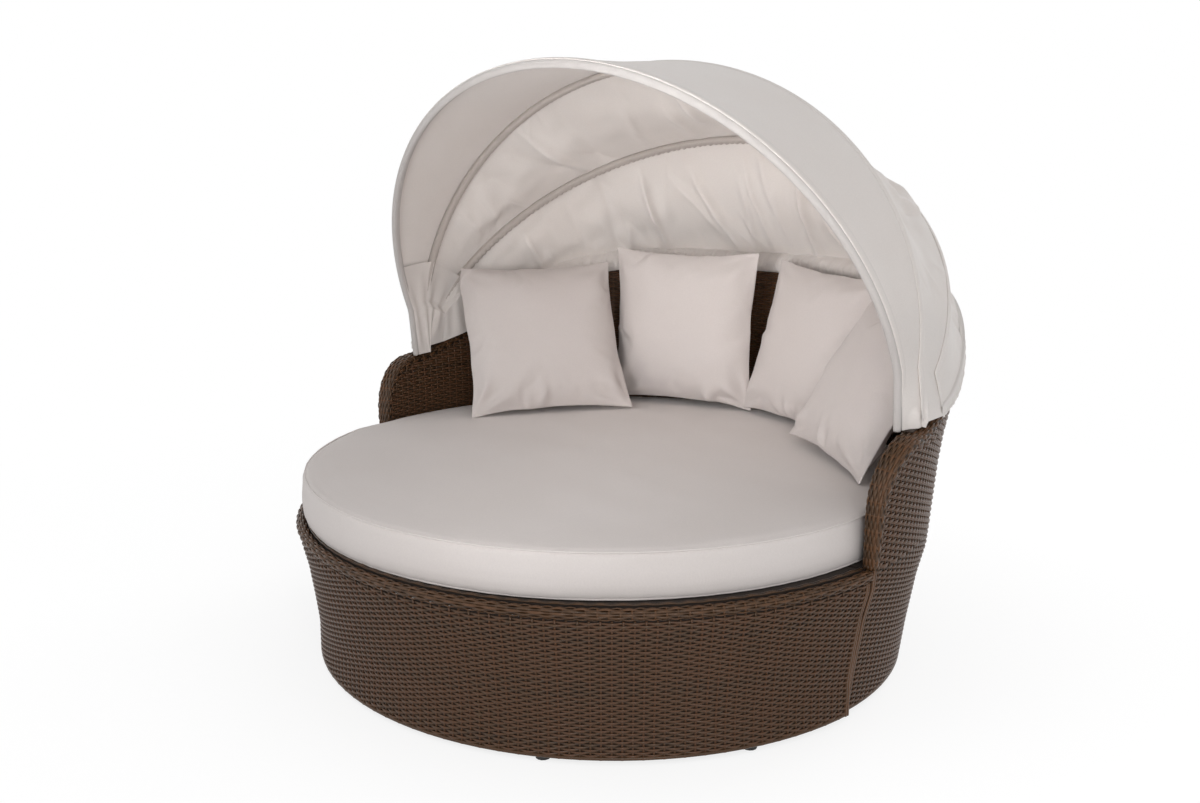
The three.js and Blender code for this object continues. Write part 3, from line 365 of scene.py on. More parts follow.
def wicker_look(name, dark, middle, light, red):
    """Flat plastic cane: tones by strand, which also carry the weave's painted highlights and shade, with
    fine streaks and a soft gloss.
    """
    look, tree, shader = new_look(name, Roughness=0.42, Specular_IOR_Level=0.3)
    where = place(tree)
    stretch = node(tree, "Mapping", {"Scale": (1, 1, 6), "Vector": where})
    streak = noise(tree, 160, 3, 0.6, stretch.outputs["Vector"])
    patch = noise(tree, 14, 3, 0.5, where)
    tone = maths(tree, "SUBTRACT", attribute(tree, "tone", "Fac"), 0.25)
    value = maths(tree, "MULTIPLY_ADD", streak, 0.5, tone)
    value = maths(tree, "MULTIPLY_ADD", patch, 0.3, maths(tree, "SUBTRACT", value, 0.15))
    colour = ramp(tree, value, [(0.0, dark), (0.38, middle), (0.62, red), (0.82, middle), (1.0, light)])
    tree.links.new(colour, shader.inputs["Base Color"])
    tree.links.new(maths(tree, "MULTIPLY_ADD", streak, 0.22, 0.22), shader.inputs["Roughness"])
    bump(tree, shader, streak, 0.35, 0.0006)
    return look


def cloth_look(name, colour, warm, through=0.0):
    """Woven outdoor canvas: a plain weave of about 0.8 mm, with soft mottling and slubs."""
    look, tree, shader = new_look(name, Roughness=0.9, Sheen_Weight=0.15, Sheen_Roughness=0.5)
    if through:
        for key, value in (("Weight", through), ("Radius", (1, 1, 1)), ("Scale", 0.004)):
            shader.inputs["Subsurface " + key].default_value = value
    where = place(tree)
    slub = noise(tree, 260, 2, 0.5, where)
    broad = maths(tree, "MULTIPLY_ADD", noise(tree, 3.0, 3, 0.5, where), 1.4, -0.2)
    speck = maths(tree, "MULTIPLY_ADD", slub, 0.10, 0.95)
    tone = node(tree, "CombineColor", {0: speck, 1: speck, 2: speck}).outputs[0]
    colour = mix(tree, "MULTIPLY", 1.0, mix(tree, "MIX", broad, colour, warm), tone)
    tree.links.new(colour, shader.inputs["Base Color"])
    parts = node(tree, "SeparateXYZ", {0: attribute(tree, "flat", "Vector")}).outputs
    turns = 2 * math.pi / WEAVE_REPEAT
    warp, weft = (maths(tree, "SINE", maths(tree, "MULTIPLY", parts[i], turns)) for i in (0, 1))
    height = maths(tree, "MULTIPLY_ADD", maths(tree, "MULTIPLY", warp, weft), 0.5, slub)
    bump(tree, shader, height, 0.25, 0.0005)
    return look


def plain_look(name, colour, other, roughness, metallic=0.0):
    look, tree, shader = new_look(name, Roughness=roughness, Metallic=metallic)
    value = noise(tree, 60, 4, 0.6, place(tree))
    tree.links.new(ramp(tree, value, [(0.3, colour), (0.7, other)]), shader.inputs["Base Color"])
    tree.links.new(maths(tree, "MULTIPLY_ADD", value, 0.2, roughness - 0.1), shader.inputs["Roughness"])
    bump(tree, shader, value, 0.2, 0.0003)
    return look


wicker = wicker_look("wicker", srgb(30, 19, 12), srgb(77, 56, 38), srgb(122, 96, 68), srgb(86, 57, 37))
wicker_braid = wicker_look("braid", srgb(28, 19, 11), srgb(76, 53, 33), srgb(136, 106, 72), srgb(94, 62, 37))
# near black: painted shade seen through the gaps between the canes, on a sheet close behind them
painted_gap_shade = plain_look("weave_gap_shade_sheet", srgb(34, 24, 18), srgb(44, 32, 25), 0.8)
canvas = cloth_look("canopy_cloth", srgb(217, 211, 207), srgb(211, 203, 198), 0.45)
# the canopy's canvas painted darker on the front hem's roll: painted shade against the light the roll catches
hem_painted_shade = cloth_look("hem_shade_cloth", srgb(186, 181, 178), srgb(181, 175, 172))
# the canopy's canvas painted darker for the sleeves round the middle and rear bows: painted shade on the
# sleeves
piping = cloth_look("sleeve_shade_cloth", srgb(181, 172, 166), srgb(173, 164, 158))
cushion = cloth_look("cushion_cloth", srgb(214, 207, 204), srgb(209, 201, 197))
pillow_cloth = cloth_look("pillow_cloth", srgb(203, 195, 192), srgb(198, 189, 185))

# ---------------------------------------------------------------- weave
CANE_SECTION = np.array([[0.5, 0.0], [0.3, 0.46], [-0.3, 0.46], [-0.5, 0.0], [0.0, -0.5]])
CANE_THICK = 0.0028
STAKE = oval(0.0056, 0.0034)
WAVE = 0.0027                        # how far a strand swings out over a stake and in under it
SINK = 0.0041                        # from the skin to the middle of the weave
LINING = 0.0078                      # from the skin to the lining behind it
BASE_PITCH, WALL_PITCH = 0.00675, 0.0080
SAMPLES = 3                          # points of a strand for each stake
CANE_COUNT = 997


def cane_tones(count, seed, spread=0.2):
    r = np.random.default_rng(seed)
    return np.clip(0.45 + spread * r.normal(size=count), 0.02, 0.98)


def cane_section(tall):
    return CANE_SECTION * np.stack([tall, np.full_like(tall, CANE_THICK)], -1)[:, None, :]


def weave_rows(shape, heights, ends_at, radius_at, pitch, seed, facing=1.0):
    """Strands that run level round the base, over one stake and under the next."""
    tones = cane_tones(len(heights), seed, 0.10)
    lengths_of_cane = cane_tones(CANE_COUNT, seed + 500, 0.14)
    for row, z in enumerate(heights):
        a0, a1 = ends_at(z)
        first, last = math.ceil(a0 / STAKE_STEP * SAMPLES), math.floor(a1 / STAKE_STEP * SAMPLES)
        if last - first < SAMPLES:
            continue
        angles = np.arange(first, last + 1) * STAKE_STEP / SAMPLES
        angles = np.concatenate([[a0], angles[(angles > a0 + 1e-4) & (angles < a1 - 1e-4)], [a1]])
        over = np.cos(math.pi * angles / STAKE_STEP + math.pi * row)
        tilt = lean(radius_at, z)
        out = outward(angles, tilt) * facing
        up = unit(polar(tilt, angles, 1.0))
        path = polar(radius_at(z), angles, z) + out * (over * WAVE - SINK)[:, None]
        cane = np.floor((angles * 0.9 + row * 0.618) / 0.55).astype(int)
        # a strand's tone by row and by length of cane, plus painted highlight where it rises over a stake and
        # painted shade where it dips under one
        shade = 0.5 * tones[row] + 0.5 * lengths_of_cane[(cane + row * 17) % CANE_COUNT] + 0.18 * over
        shape.bar(path, up, out, cane_section(pitch * (0.95 + 0.07 * over)), shade)


def weave_stakes(shape, ends, low, top_at, radius_at, seed, facing=1.0):
    angles = np.arange(math.ceil(ends[0] / STAKE_STEP), math.floor(ends[1] / STAKE_STEP) + 1) * STAKE_STEP
    for angle, tone in zip(angles, 0.1 + cane_tones(len(angles), seed, 0.10)):
        high = top_at(angle)
        if high - low < 0.02:
            continue
        z = np.linspace(low, high, max(int((high - low) / 0.012), 3))
        out = outward(angle, lean(radius_at, z)) * facing
        across = np.array([math.cos(angle), math.sin(angle), 0.0])
        shape.bar(polar(radius_at(z), angle, z) - out * SINK, across, out, STAKE, tone)


def add_lining(shape, angles, heights, radius_at, facing=1.0):
    """A lining close behind the strands, near black as painted shade for the gaps between them, with a row of
    heights for each angle.
    """
    out = outward(angles)[:, None, :] * facing
    points = polar(radius_at(heights), angles[:, None], heights) - out * LINING
    shape.add(*grid_slab(points, np.broadcast_to(out, points.shape), 0.0008))


def skirt(label, node_name, radius_at, ends, top, stake_cut, lining_cut, count, seed):
    body, low = f"{label}_section", FOOT + MARGIN
    shape = Shape()
    weave_rows(shape, np.arange(FOOT + 0.004, top, BASE_PITCH), lambda z: ends(radius_at(z)), radius_at,
               BASE_PITCH, seed)
    shape.make(f"{label}_base_weft", wicker, body, [node_name])
    shape = Shape()
    weave_stakes(shape, ends(*stake_cut), low, lambda angle: top, radius_at, seed + 1)
    shape.make(f"{label}_base_stakes", wicker, body)
    shape = Shape()
    add_lining(shape, np.linspace(*ends(*lining_cut), count),
               np.broadcast_to(np.linspace(low, top, 24), (count, 24)), radius_at)
    shape.make(f"{label}_base_lining", painted_gap_shade, body)


skirt("front", "front_weave", front_radius, front_ends, FRONT_TOP, (0.84, 0.004), (0.838, 0.003), 120, 11)
skirt("rear", "rear_base_weave", rear_radius, rear_ends, REAR_TOP, (0.822, 0.006), (0.822, 0.006), 140, 21)


def wall_skin(name, node_name, radius_at, facing, seed, low):
    """One skin of the arms and the back, from the deck up to the edge's braid."""
    line_angle, line_z = edge_line(BRAID_DEPTH + MARGIN, radius_at)

    def ends_at(z):
        start = float(np.interp(z, line_z, line_angle))
        return start, 2 * math.pi - start

    def top_at(angle):
        return float(np.interp(min(angle, 2 * math.pi - angle), line_angle, line_z)) - MARGIN

    rows = np.arange(low + 0.0035, line_z[-1] - 0.004, WALL_PITCH)
    half = len(rows) // 2
    for part, chosen, seed_step, stands_for in (("lower", rows[:half], 0, [node_name]),
                                                ("upper", rows[half:], half, [])):
        shape = Shape()
        weave_rows(shape, chosen, ends_at, radius_at, WALL_PITCH, seed + seed_step, facing)
        shape.make(f"{name}_weft_{part}", wicker, "rear_section", stands_for)
    start = float(line_angle[0]) + 0.004
    end = 2 * math.pi - start
    shape = Shape()
    weave_stakes(shape, (start, end), low + MARGIN, top_at, radius_at, seed + 1, facing)
    shape.make(f"{name}_stakes", wicker, "rear_section")
    shape = Shape()
    angles = np.concatenate([np.linspace(start, start + 0.18, 30), np.linspace(start + 0.2, end - 0.2, 130),
                             np.linspace(end - 0.18, end, 30)])
    tops = np.array([top_at(angle) for angle in angles])[:, None]
    add_lining(shape, angles, low + MARGIN + (tops - low - MARGIN) * np.linspace(0, 1, 26), radius_at, facing)
    shape.make(f"{name}_lining", painted_gap_shade, "rear_section")


wall_skin("wall_outer", "back_outer_weave", wall_outer, 1.0, 31, DECK - 0.0015)
wall_skin("wall_inner", "back_inner_weave", wall_inner, -1.0, 41, DECK + 0.001)


def chord_panel(label, node_name, y, facing, radius_at, top):
    """A flat woven panel across the seam, seen when the sections are apart."""
    name, body, stake_gap = f"{label}_seam_panel", f"{label}_section", 0.0255
    out = np.array([0.0, facing, 0.0])
    shape = Shape()
    rows = np.arange(FOOT + 0.004, top - 0.003, BASE_PITCH)
    for row, (z, tone) in enumerate(zip(rows, cane_tones(len(rows), 51))):
        reach = math.sqrt(float(radius_at(z)) ** 2 - y * y) - 0.012
        x = np.linspace(-reach, reach, int(2 * reach * SAMPLES / stake_gap))
        over = np.cos(math.pi * x / stake_gap + math.pi * row)
        path = np.stack([x, y + facing * (over * WAVE - SINK), np.full_like(x, z)], -1)
        shape.bar(path, UP, out, cane_section(BASE_PITCH * (0.90 + 0.07 * over)), tone)
    shape.make(f"{name}_weft", wicker, body, [node_name])
    shape = Shape()
    half = int((math.sqrt(float(radius_at(FOOT + 0.01)) ** 2 - y * y) - 0.02) / stake_gap)
    stakes = np.arange(-half, half + 1) * stake_gap
    low, high = FOOT + MARGIN, top - MARGIN
    for x, tone in zip(stakes, cane_tones(len(stakes), 52)):
        path = np.array([[x, y - facing * SINK, z] for z in (low, (FOOT + top) / 2, high)])
        shape.bar(path, np.array([1.0, 0, 0]), out, STAKE, tone)
    shape.make(f"{name}_stakes", wicker, body)
    shape = Shape()
    z = np.linspace(low, high, 12)
    reach = np.sqrt(radius_at(z) ** 2 - y * y) - 0.013
    points = np.stack(np.broadcast_arrays(reach * np.linspace(-1, 1, 9)[:, None], y - facing * LINING, z), -1)
    shape.add(*grid_slab(points, np.broadcast_to(out, points.shape), 0.0008))
    shape.make(f"{name}_lining", painted_gap_shade, body)


chord_panel("rear", "rear_front_panel", SEAM_Y, -1.0, rear_radius, REAR_TOP)
chord_panel("front", "front_back_panel", SEAM_Y - SEAM_GAP, 1.0, front_radius, FRONT_TOP)


# ---------------------------------------------------------------- braids
def rounded_bundle(shape, path, out, strands, thick, pitch, tones, wave):
    """Flat canes side by side over a rounded edge. strands has (across, out, tilt, width) for each."""
    across = unit(np.cross(unit(np.gradient(path, axis=0)), out))
    length = lengths(path)
    for k, ((side, up, tilt, width), tone) in enumerate(zip(strands, tones)):
        normal = out * math.cos(tilt) + across * math.sin(tilt)
        flat = across * math.cos(tilt) - out * math.sin(tilt)
        over = np.cos(math.pi * length / pitch + math.pi * k)
        line = path + across * np.reshape(side, (-1, 1)) + out * up + normal * (over * wave)[:, None]
        section = oval(width, thick) * (0.94 + 0.06 * over)[:, None, None]
        # painted highlight where a cane rises and painted shade where it dips, with a little tone that varies
        # along its length
        shape.bar(line, flat, normal, section, tone + 0.10 * over + 0.05 * np.sin(length * 9 + k * 2))


def crossings(shape, path, across, out, section_at, every):
    """Short canes that cross a border on top of its core, each bent over it."""
    along = unit(np.gradient(path, axis=0))
    length = lengths(path)
    for count, at in enumerate(np.arange(every / 2, length[-1], every)):
        k = int(np.searchsorted(length, at))
        line = path[k] + section_at[k, :, 0:1] * across[k] + section_at[k, :, 1:2] * out[k]
        normal = unit(np.cross(along[k], unit(np.gradient(line, axis=0))))
        shape.bar(line, along[k], normal, oval(0.0056, 0.003), 0.5 + 0.08 * math.sin(count * 2.4))


# front rim: a rounded border of canes over the base's top edge
rim_middle = RIM_R - 0.0150
angles = np.linspace(*front_ends(rim_middle), 900)
rim_path = polar(rim_middle, angles, DECK - RIM_DROP)
rim_out, rim_up = polar(1.0, angles, 0.0), np.broadcast_to(UP, rim_path.shape)
shape = Shape()
strands = [(-0.0118 * math.sin(turn), 0.0126 * math.cos(turn), -turn, 0.0072)
           for turn in np.radians(np.arange(-80, 200, 31.0))]
rounded_bundle(shape, rim_path, rim_out, strands, 0.0032, STAKE_STEP * RIM_R,
               [0.3, 0.38, 0.3, 0.42, 0.34, 0.44, 0.32, 0.38, 0.3, 0.3], 0.0018)
turns = np.radians(np.linspace(-95, 185, 15))
arch = np.stack([0.0117 * np.cos(turns), 0.0113 * np.sin(turns)], -1)
crossings(shape, rim_path, rim_out, rim_up, np.broadcast_to(arch, (len(rim_path), *arch.shape)),
          STAKE_STEP * rim_middle)
# the rim's core under the canes is near black: painted shade in the gaps between them
shape.bar(rim_path[::9], rim_out[::9], UP, oval(0.0215, 0.0208, 12), 0.1)
# two flat canes close the trough between the rim and the mattress
angles = np.linspace(*front_ends(0.853, 0.004), 600)
# over lifts the canes over each stake, and also paints them lighter where they rise and darker where they
# dip: painted highlight and shade
over = np.cos(math.pi * angles / STAKE_STEP)
for radius, tone in ((0.8500, 0.2), (0.8568, 0.3)):
    shape.bar(polar(radius, angles, DECK + 0.0022 + 0.0008 * over), polar(1.0, angles, 0.0), UP,
              oval(0.0062, 0.0030), tone + 0.1 * over)
shape.make("front_rim_canes", wicker_braid, "front_section", ["front_rim_braid"])

# upright canes that close the two skirts where the sections meet
for label, radius_at, ends, end, top in (("front", front_radius, front_ends, 1, FRONT_TOP),
                                         ("rear", rear_radius, rear_ends, 0, REAR_TOP)):
    shape = Shape()
    z = np.linspace(FOOT + MARGIN, top, 60)
    radius = radius_at(z)
    for side in (1, -1):
        mirror = np.array([side, 1, 1])
        for inset, tone in ((0.0045, 0.6), (0.0125, 0.45)):
            angle = ends(radius, inset / radius)[end]
            out = outward(angle, lean(radius_at, z))
            shape.bar((polar(radius, angle, z) - out * 0.0014) * mirror,
                      polar(1.0, angle + math.pi / 2, 0.0) * mirror, out * mirror, oval(0.0080, 0.0042, 8),
                      tone + 0.06 * np.sin(z * 60), flip=side < 0)
    shape.make(f"{label}_seam_canes", wicker_braid, f"{label}_section")

# a cane along the foot of each skirt
for label, radius_at, ends in (("front", front_radius, front_ends(front_radius(FOOT), 0.008)),
                               ("rear", rear_radius, rear_ends(rear_radius(FOOT), 0.006))):
    angles = np.linspace(*ends, 260)
    shape = Shape()
    shape.bar(polar(radius_at(FOOT + 0.005) - 0.0034, angles, FOOT + 0.0046), UP, polar(1.0, angles, 0.0),
              oval(0.0086, 0.0062, 8), 0.36)
    shape.make(f"{label}_foot_cane", wicker_braid, f"{label}_section")

# edge of the arms and the back
line_angle, line_z = edge_line(BRAID_DEPTH / 2, wall_middle, 70, 240)
right = polar(wall_middle(line_z), line_angle, line_z)
edge = np.concatenate([right[:-1], right[::-1] * MIRROR])
edge_length = lengths(edge)[-1]
edge = resample(edge, np.linspace(0, edge_length, int(edge_length / 0.0064)))
smooth(edge, 6)
edge_along = unit(np.gradient(edge, axis=0))
behind_arm = np.clip(edge[:, 1] - SEAM_Y - ARM_DEPTH, 0, None) * 1.05
radial = unit(np.stack([edge[:, 0], behind_arm, np.zeros(len(edge))], -1))
edge_out = unit(np.cross(radial, edge_along))
edge_across = unit(np.cross(edge_along, edge_out))
half_wall = (wall_outer(edge[:, 2]) - wall_inner(edge[:, 2])) / 2 + 0.0012


def edge_section(pairs, wide, high):
    """The edge's section along its path, in shares of half the wall's thickness and of a height."""
    return np.stack([np.stack([half_wall * a * wide, np.full(len(edge), b * high)], -1) for a, b in pairs], 1)


lies = [(-0.95, -0.75, -86), (-0.94, 0.05, -70), (-0.82, 0.62, -42), (-0.60, 0.86, -18), (-0.36, 0.95, -8),
        (-0.12, 0.98, 0)]
lies += [(-share, up, -tilt) for share, up, tilt in lies[::-1]]
strands = [(-share * half_wall * 0.96, up * 0.0092, -math.radians(tilt), 0.0080) for share, up, tilt in lies]
shape = Shape()
rounded_bundle(shape, edge, edge_out, strands, 0.0036, 0.0185,
               [0.26, 0.46, 0.34, 0.56, 0.36, 0.48, 0.24, 0.38, 0.2, 0.36, 0.24, 0.4], 0.0016)
arch = [(-1, -1.1), (-1, -0.3), (-0.97, 0.2), (-0.86, 0.62), (-0.6, 0.9), (-0.2, 1.0)]
arch += [(-share, up) for share, up in arch[::-1]]
crossings(shape, edge, edge_across, edge_out, edge_section(arch, 0.95, 0.0088), 0.0370)
core = [(-1, -1.3), (1, -1.3), (1, 0.1), (0.8, 0.72), (0, 0.98), (-0.8, 0.72), (-1, 0.1)]
# the edge's core under the canes is near black: painted shade in the gaps between them
shape.bar(edge, edge_across, edge_out, edge_section(core, 0.93, 0.0078), 0.05)
shape.make("wall_edge_canes", wicker_braid, "rear_section", ["back_edge_braid"])


# ---------------------------------------------------------------- mattress
def press_in(p):
    """Moves points of the mattress inwards where the inside of the wall presses on it."""
    out = np.hypot(p[:, 0], p[:, 1])
    along = np.hypot(p[:, 0] - MATTRESS_AT[0], p[:, 1] - MATTRESS_AT[1]) / MATTRESS_R
    beside = np.clip((p[:, 1] - SEAM_Y + 0.12) / 0.12, 0, 1)
    share = 1 + beside * along * (np.minimum(MATTRESS_ROOM * along / np.maximum(out, 1e-9), 1) - 1)
    return p * np.stack([share, share, np.ones_like(share)], -1)


base = DECK + 0.0006
profile = [(0.0, 0.0)]               # the middle of the underside reaches down inside the base
for r, h in [(0.5, 0), (0.9, 0), (0.972, 0.0), (0.99, 0.012), (0.9965, 0.05), (0.999, 0.14), (1.0, 0.3),
             (1.0, 0.5), (1.0, 0.7), (0.999, 0.86), (0.9955, 0.95), (0.988, 0.992)]:
    profile.append((r * MATTRESS_R + 0.004 * math.sin(math.pi * min(h / 0.75, 1)), base + h * MATTRESS_H))
for r, h in [(0.975, 0.18), (0.95, 0.36), (0.9, 0.56), (0.8, 0.74), (0.65, 0.87), (0.45, 0.95), (0.2, 0.99),
             (0.0, 1.0)]:
    profile.append((r * MATTRESS_R, base + MATTRESS_H + h * CROWN))
profile = np.array(profile)
step = lengths(profile)
low_edge, shoulder = step[3], step[16]
lathe = resample(profile, np.concatenate([np.linspace(0, low_edge, 12)[:-1],
                                          np.linspace(low_edge, shoulder, 70)[:-1],
                                          np.linspace(shoulder, step[-1], 46)]))
smooth(lathe[11:-1], 2)
TURNS = 420
around = np.linspace(0, 2 * math.pi, TURNS, endpoint=False)
out = polar(1.0, around, 0.0)
r_line, z_line = lathe[1:-1].T
points = polar(r_line, around[:, None], z_line)
on_side = r_line > 0.8
near_seams = sum(share * np.exp(-((z_line - (base + at * MATTRESS_H)) / 0.016) ** 2) * on_side
                 for share, at in ((1.0, 0.93), (0.7, 0.06)))
ring = np.stack([np.cos(around), np.sin(around)], -1)
pucker = 0.6 * np.sin(around * 71 + 2 * np.sin(around * 5)) + 0.4 * np.sin(around * 118 + 1.3)
pucker += 0.5 * wobble(ring, 0.12, 3)
swell = pucker[:, None] * near_seams * 0.0010 + 0.0016 * wobble(ring, 0.5, 4)[:, None] * on_side
points += out[:, None, :] * swell[..., None]
sag = 0.0022 * wobble(points[..., :2], 0.9, 5) + 0.0008 * wobble(points[..., :2], 0.22, 6)
points[..., 2] += sag * ease((z_line - (base + MATTRESS_H)) / 0.004)
ids = np.arange(points[..., 0].size).reshape(TURNS, -1)
after = np.roll(ids, -1, axis=0)
middles = [[0, 0, base], [0, 0, points[:, -1, 2].mean() + 0.0002]]
verts = np.concatenate([points.reshape(-1, 3), middles]) + MATTRESS_AT
faces = [np.stack([ids[:, :-1], after[:, :-1], after[:, 1:], ids[:, 1:]], -1).reshape(-1, 4),
         np.stack([np.full(TURNS, ids.size), after[:, 0], ids[:, 0]], -1),
         np.stack([np.full(TURNS, ids.size + 1), ids[:, -1], after[:, -1]], -1)]
shape = Shape()
shape.add(press_in(verts), faces, 0.5, verts)
mattress = shape.make("mattress_cushion", cushion, "rear_section", ["mattress"])

for label, height, radius in (("top", 0.965, 0.9935), ("bottom", 0.035, 0.9925)):
    line = polar(MATTRESS_R * radius + 0.0006 * pucker, around, base + height * MATTRESS_H) + MATTRESS_AT
    verts, faces = sweep(press_in(line), out, UP, oval(0.0056, 0.0056, 8), closed=True)
    shape = Shape()
    shape.add(verts, faces, 0.5, verts)
    shape.make(f"mattress_piping_{label}", cushion, "rear_section")

# ---------------------------------------------------------------- pillows
# yaw, lean and roll in degrees, size, loft, shift, and how far the canopy behind tucks the top in
PILLOWS = [(53.3, 31.8, -0.9, 0.522, 0.155, (-0.004, 0.0, 0.016), 0.12),
           (11.2, 4.4, 0.0, 0.502, 0.145, (0.0, 0.0, 0.014), 0.2),
           (-19.4, 16.0, 2.4, 0.490, 0.130, (-0.018, -0.010, 0.002), 0.3),
           (-36.5, 31.0, 3.0, 0.482, 0.140, (0.030, 0.005, 0.004), 0.55)]
PILLOW_SIDE = 40                     # points along a pillow's side
SEAM_DRAW = 0.052                    # how far the sides pull in between the corners
CORNER_REACH = 1.035


def pillow_faces(n):
    """Two square sheets and the band that sews them together."""
    ids = np.arange(n * n).reshape(n, n)
    sheet = np.stack([ids[:-1, :-1], ids[1:, :-1], ids[1:, 1:], ids[:-1, 1:]], -1).reshape(-1, 4)
    loop = np.concatenate([ids[0, :-1], ids[:-1, -1], ids[-1, :0:-1], ids[:0:-1, 0]])
    after = np.roll(loop, -1)
    return [sheet, sheet[:, ::-1] + n * n, np.stack([loop, after, after + n * n, loop + n * n], -1)]


def inflate(verts, faces, pressure, frames):
    """Blows up a closed mesh of two sewn sheets with Cloth, and gives back its points."""
    mesh = bpy.data.meshes.new("inflating")
    mesh.from_pydata(verts.tolist(), [], [face for part in faces for face in part.tolist()])
    piece = bpy.data.objects.new("inflating", mesh)
    bpy.context.scene.collection.objects.link(piece)
    cloth = piece.modifiers.new("cloth", "CLOTH")
    for key, value in (("quality", 6), ("mass", 0.25), ("tension_stiffness", 12),
                       ("compression_stiffness", 12), ("shear_stiffness", 4), ("bending_stiffness", 0.12),
                       ("air_damping", 3), ("use_pressure", True), ("uniform_pressure_force", pressure)):
        setattr(cloth.settings, key, value)
    cloth.settings.effector_weights.gravity = 0
    cloth.collision_settings.use_collision = False
    cloth.point_cache.frame_start, cloth.point_cache.frame_end = 1, frames
    for number in range(1, frames + 1):
        bpy.context.scene.frame_set(number)
    done = piece.evaluated_get(bpy.context.evaluated_depsgraph_get()).to_mesh()
    result = np.zeros(len(verts) * 3)
    done.vertices.foreach_get("co", result)
    bpy.context.scene.frame_set(1)
    bpy.data.objects.remove(piece)
    return result.reshape(-1, 3)


def pillow_shape(size, loft, seed):
    """A sewn square sheet, blown up, then brought to the pillow's size and thickness."""
    n = PILLOW_SIDE
    line = np.linspace(-1, 1, n)
    u, v = np.meshgrid(line, line, indexing="ij")
    out = np.maximum(np.abs(u), np.abs(v))
    grids = []
    for side in (-1, 1):
        half = 0.002 + 0.030 * np.maximum((1 - u ** 2) * (1 - v ** 2), 0) ** 0.5
        half = half + 0.004 * wobble(np.stack([u, v], -1) * 0.25, 0.12, seed + side) * (out < 0.98)
        grid = np.stack([u * size / 2, side * np.maximum(half, 0.002), v * size / 2], -1)
        grids.append(grid.reshape(-1, 3))
    faces = pillow_faces(n)
    verts = inflate(np.concatenate(grids), faces, 5.0, 26)
    verts = verts - verts.mean(0)
    verts[:, 1] *= loft / 2 / np.abs(verts[:, 1]).max()
    sheets = verts.reshape(2, n, n, 3)
    # the form is smoothed near the seam, and keeps more of its wrinkles further in
    soft = sheets.copy()
    for _ in range(16):
        beside = soft[:, :-2, 1:-1] + soft[:, 2:, 1:-1] + soft[:, 1:-1, :-2] + soft[:, 1:-1, 2:]
        soft[:, 1:-1, 1:-1] = beside / 4
    sheets[:] = soft + (sheets - soft) * (0.10 + 0.75 * np.clip((1 - out) / 0.35, 0, 1)[None, ..., None])
    # each seam is drawn in between its corners
    draw = size / 2 * (1 - SEAM_DRAW * (1 - np.abs(line) ** 3.2))
    low_u, high_u, low_v, high_v = (1 - u) / 2, (1 + u) / 2, (1 - v) / 2, (1 + v) / 2
    along = np.stack([line, line * 0], -1)
    for axis, at, sign, share in ((0, 0, -1, low_u), (0, -1, 1, high_u),
                                  (2, 0, -1, low_v), (2, -1, 1, high_v)):
        seam = sheets.mean(0)[at, :, 0] if axis == 0 else sheets.mean(0)[:, at, 2]
        off = seam - sign * draw - 0.0016 * wobble(along, 0.5, seed + 3 + axis + sign)
        sheets[..., axis] -= (off[None, :] if axis == 0 else off[:, None])[None] * share[None] ** 3
    # creases run from the corners, and one up from the lower seam
    apart = np.array([-1, 1])[:, None, None]
    for a, b, strength in ((-1, -1, 1.0), (1, -1, 1.0), (1, 1, 0.4), (-1, 1, 0.4)):
        dx, dz = 1 - a * u, 1 - b * v
        reach, turn = np.hypot(dx, dz), np.arctan2(dz, dx) - math.pi / 4
        crease = np.cos(turn * 9 + seed + a) * np.exp(-((reach - 0.34) / 0.2) ** 2)
        crease *= np.cos(np.clip(turn * 2, -1.57, 1.57))
        sheets[..., 1] += apart * 0.0195 * strength * crease * (1 - out ** 8)
    dx = (u - 0.12 + 0.3 * math.sin(seed * 2.1)) / 0.09
    crease = np.cos(dx * 2.2 + (1 + v)) * np.exp(-dx ** 2 - ((1 + v - 0.16) / 0.15) ** 2)
    sheets[..., 1] += apart * 0.022 * crease
    # the corners reach out, and the seam lies in one plane
    for a, b, i, j in ((-1, -1, 0, 0), (1, -1, -1, 0), (1, 1, -1, -1), (-1, 1, 0, -1)):
        corner = np.array([a * size / 2, 0, b * size / 2]) * CORNER_REACH - sheets[:, i, j].mean(0)
        sheets += ((1 + a * u) * (1 + b * v) / 4)[None, ..., None] ** 4 * corner
    seam = sheets.mean(0)[..., 1]
    for share, level in ((low_u, seam[:1, :]), (high_u, seam[-1:, :]),
                         (low_v, seam[:, :1]), (high_v, seam[:, -1:])):
        sheets[..., 1] -= 0.75 * level[None] * share ** 8
    return verts, faces


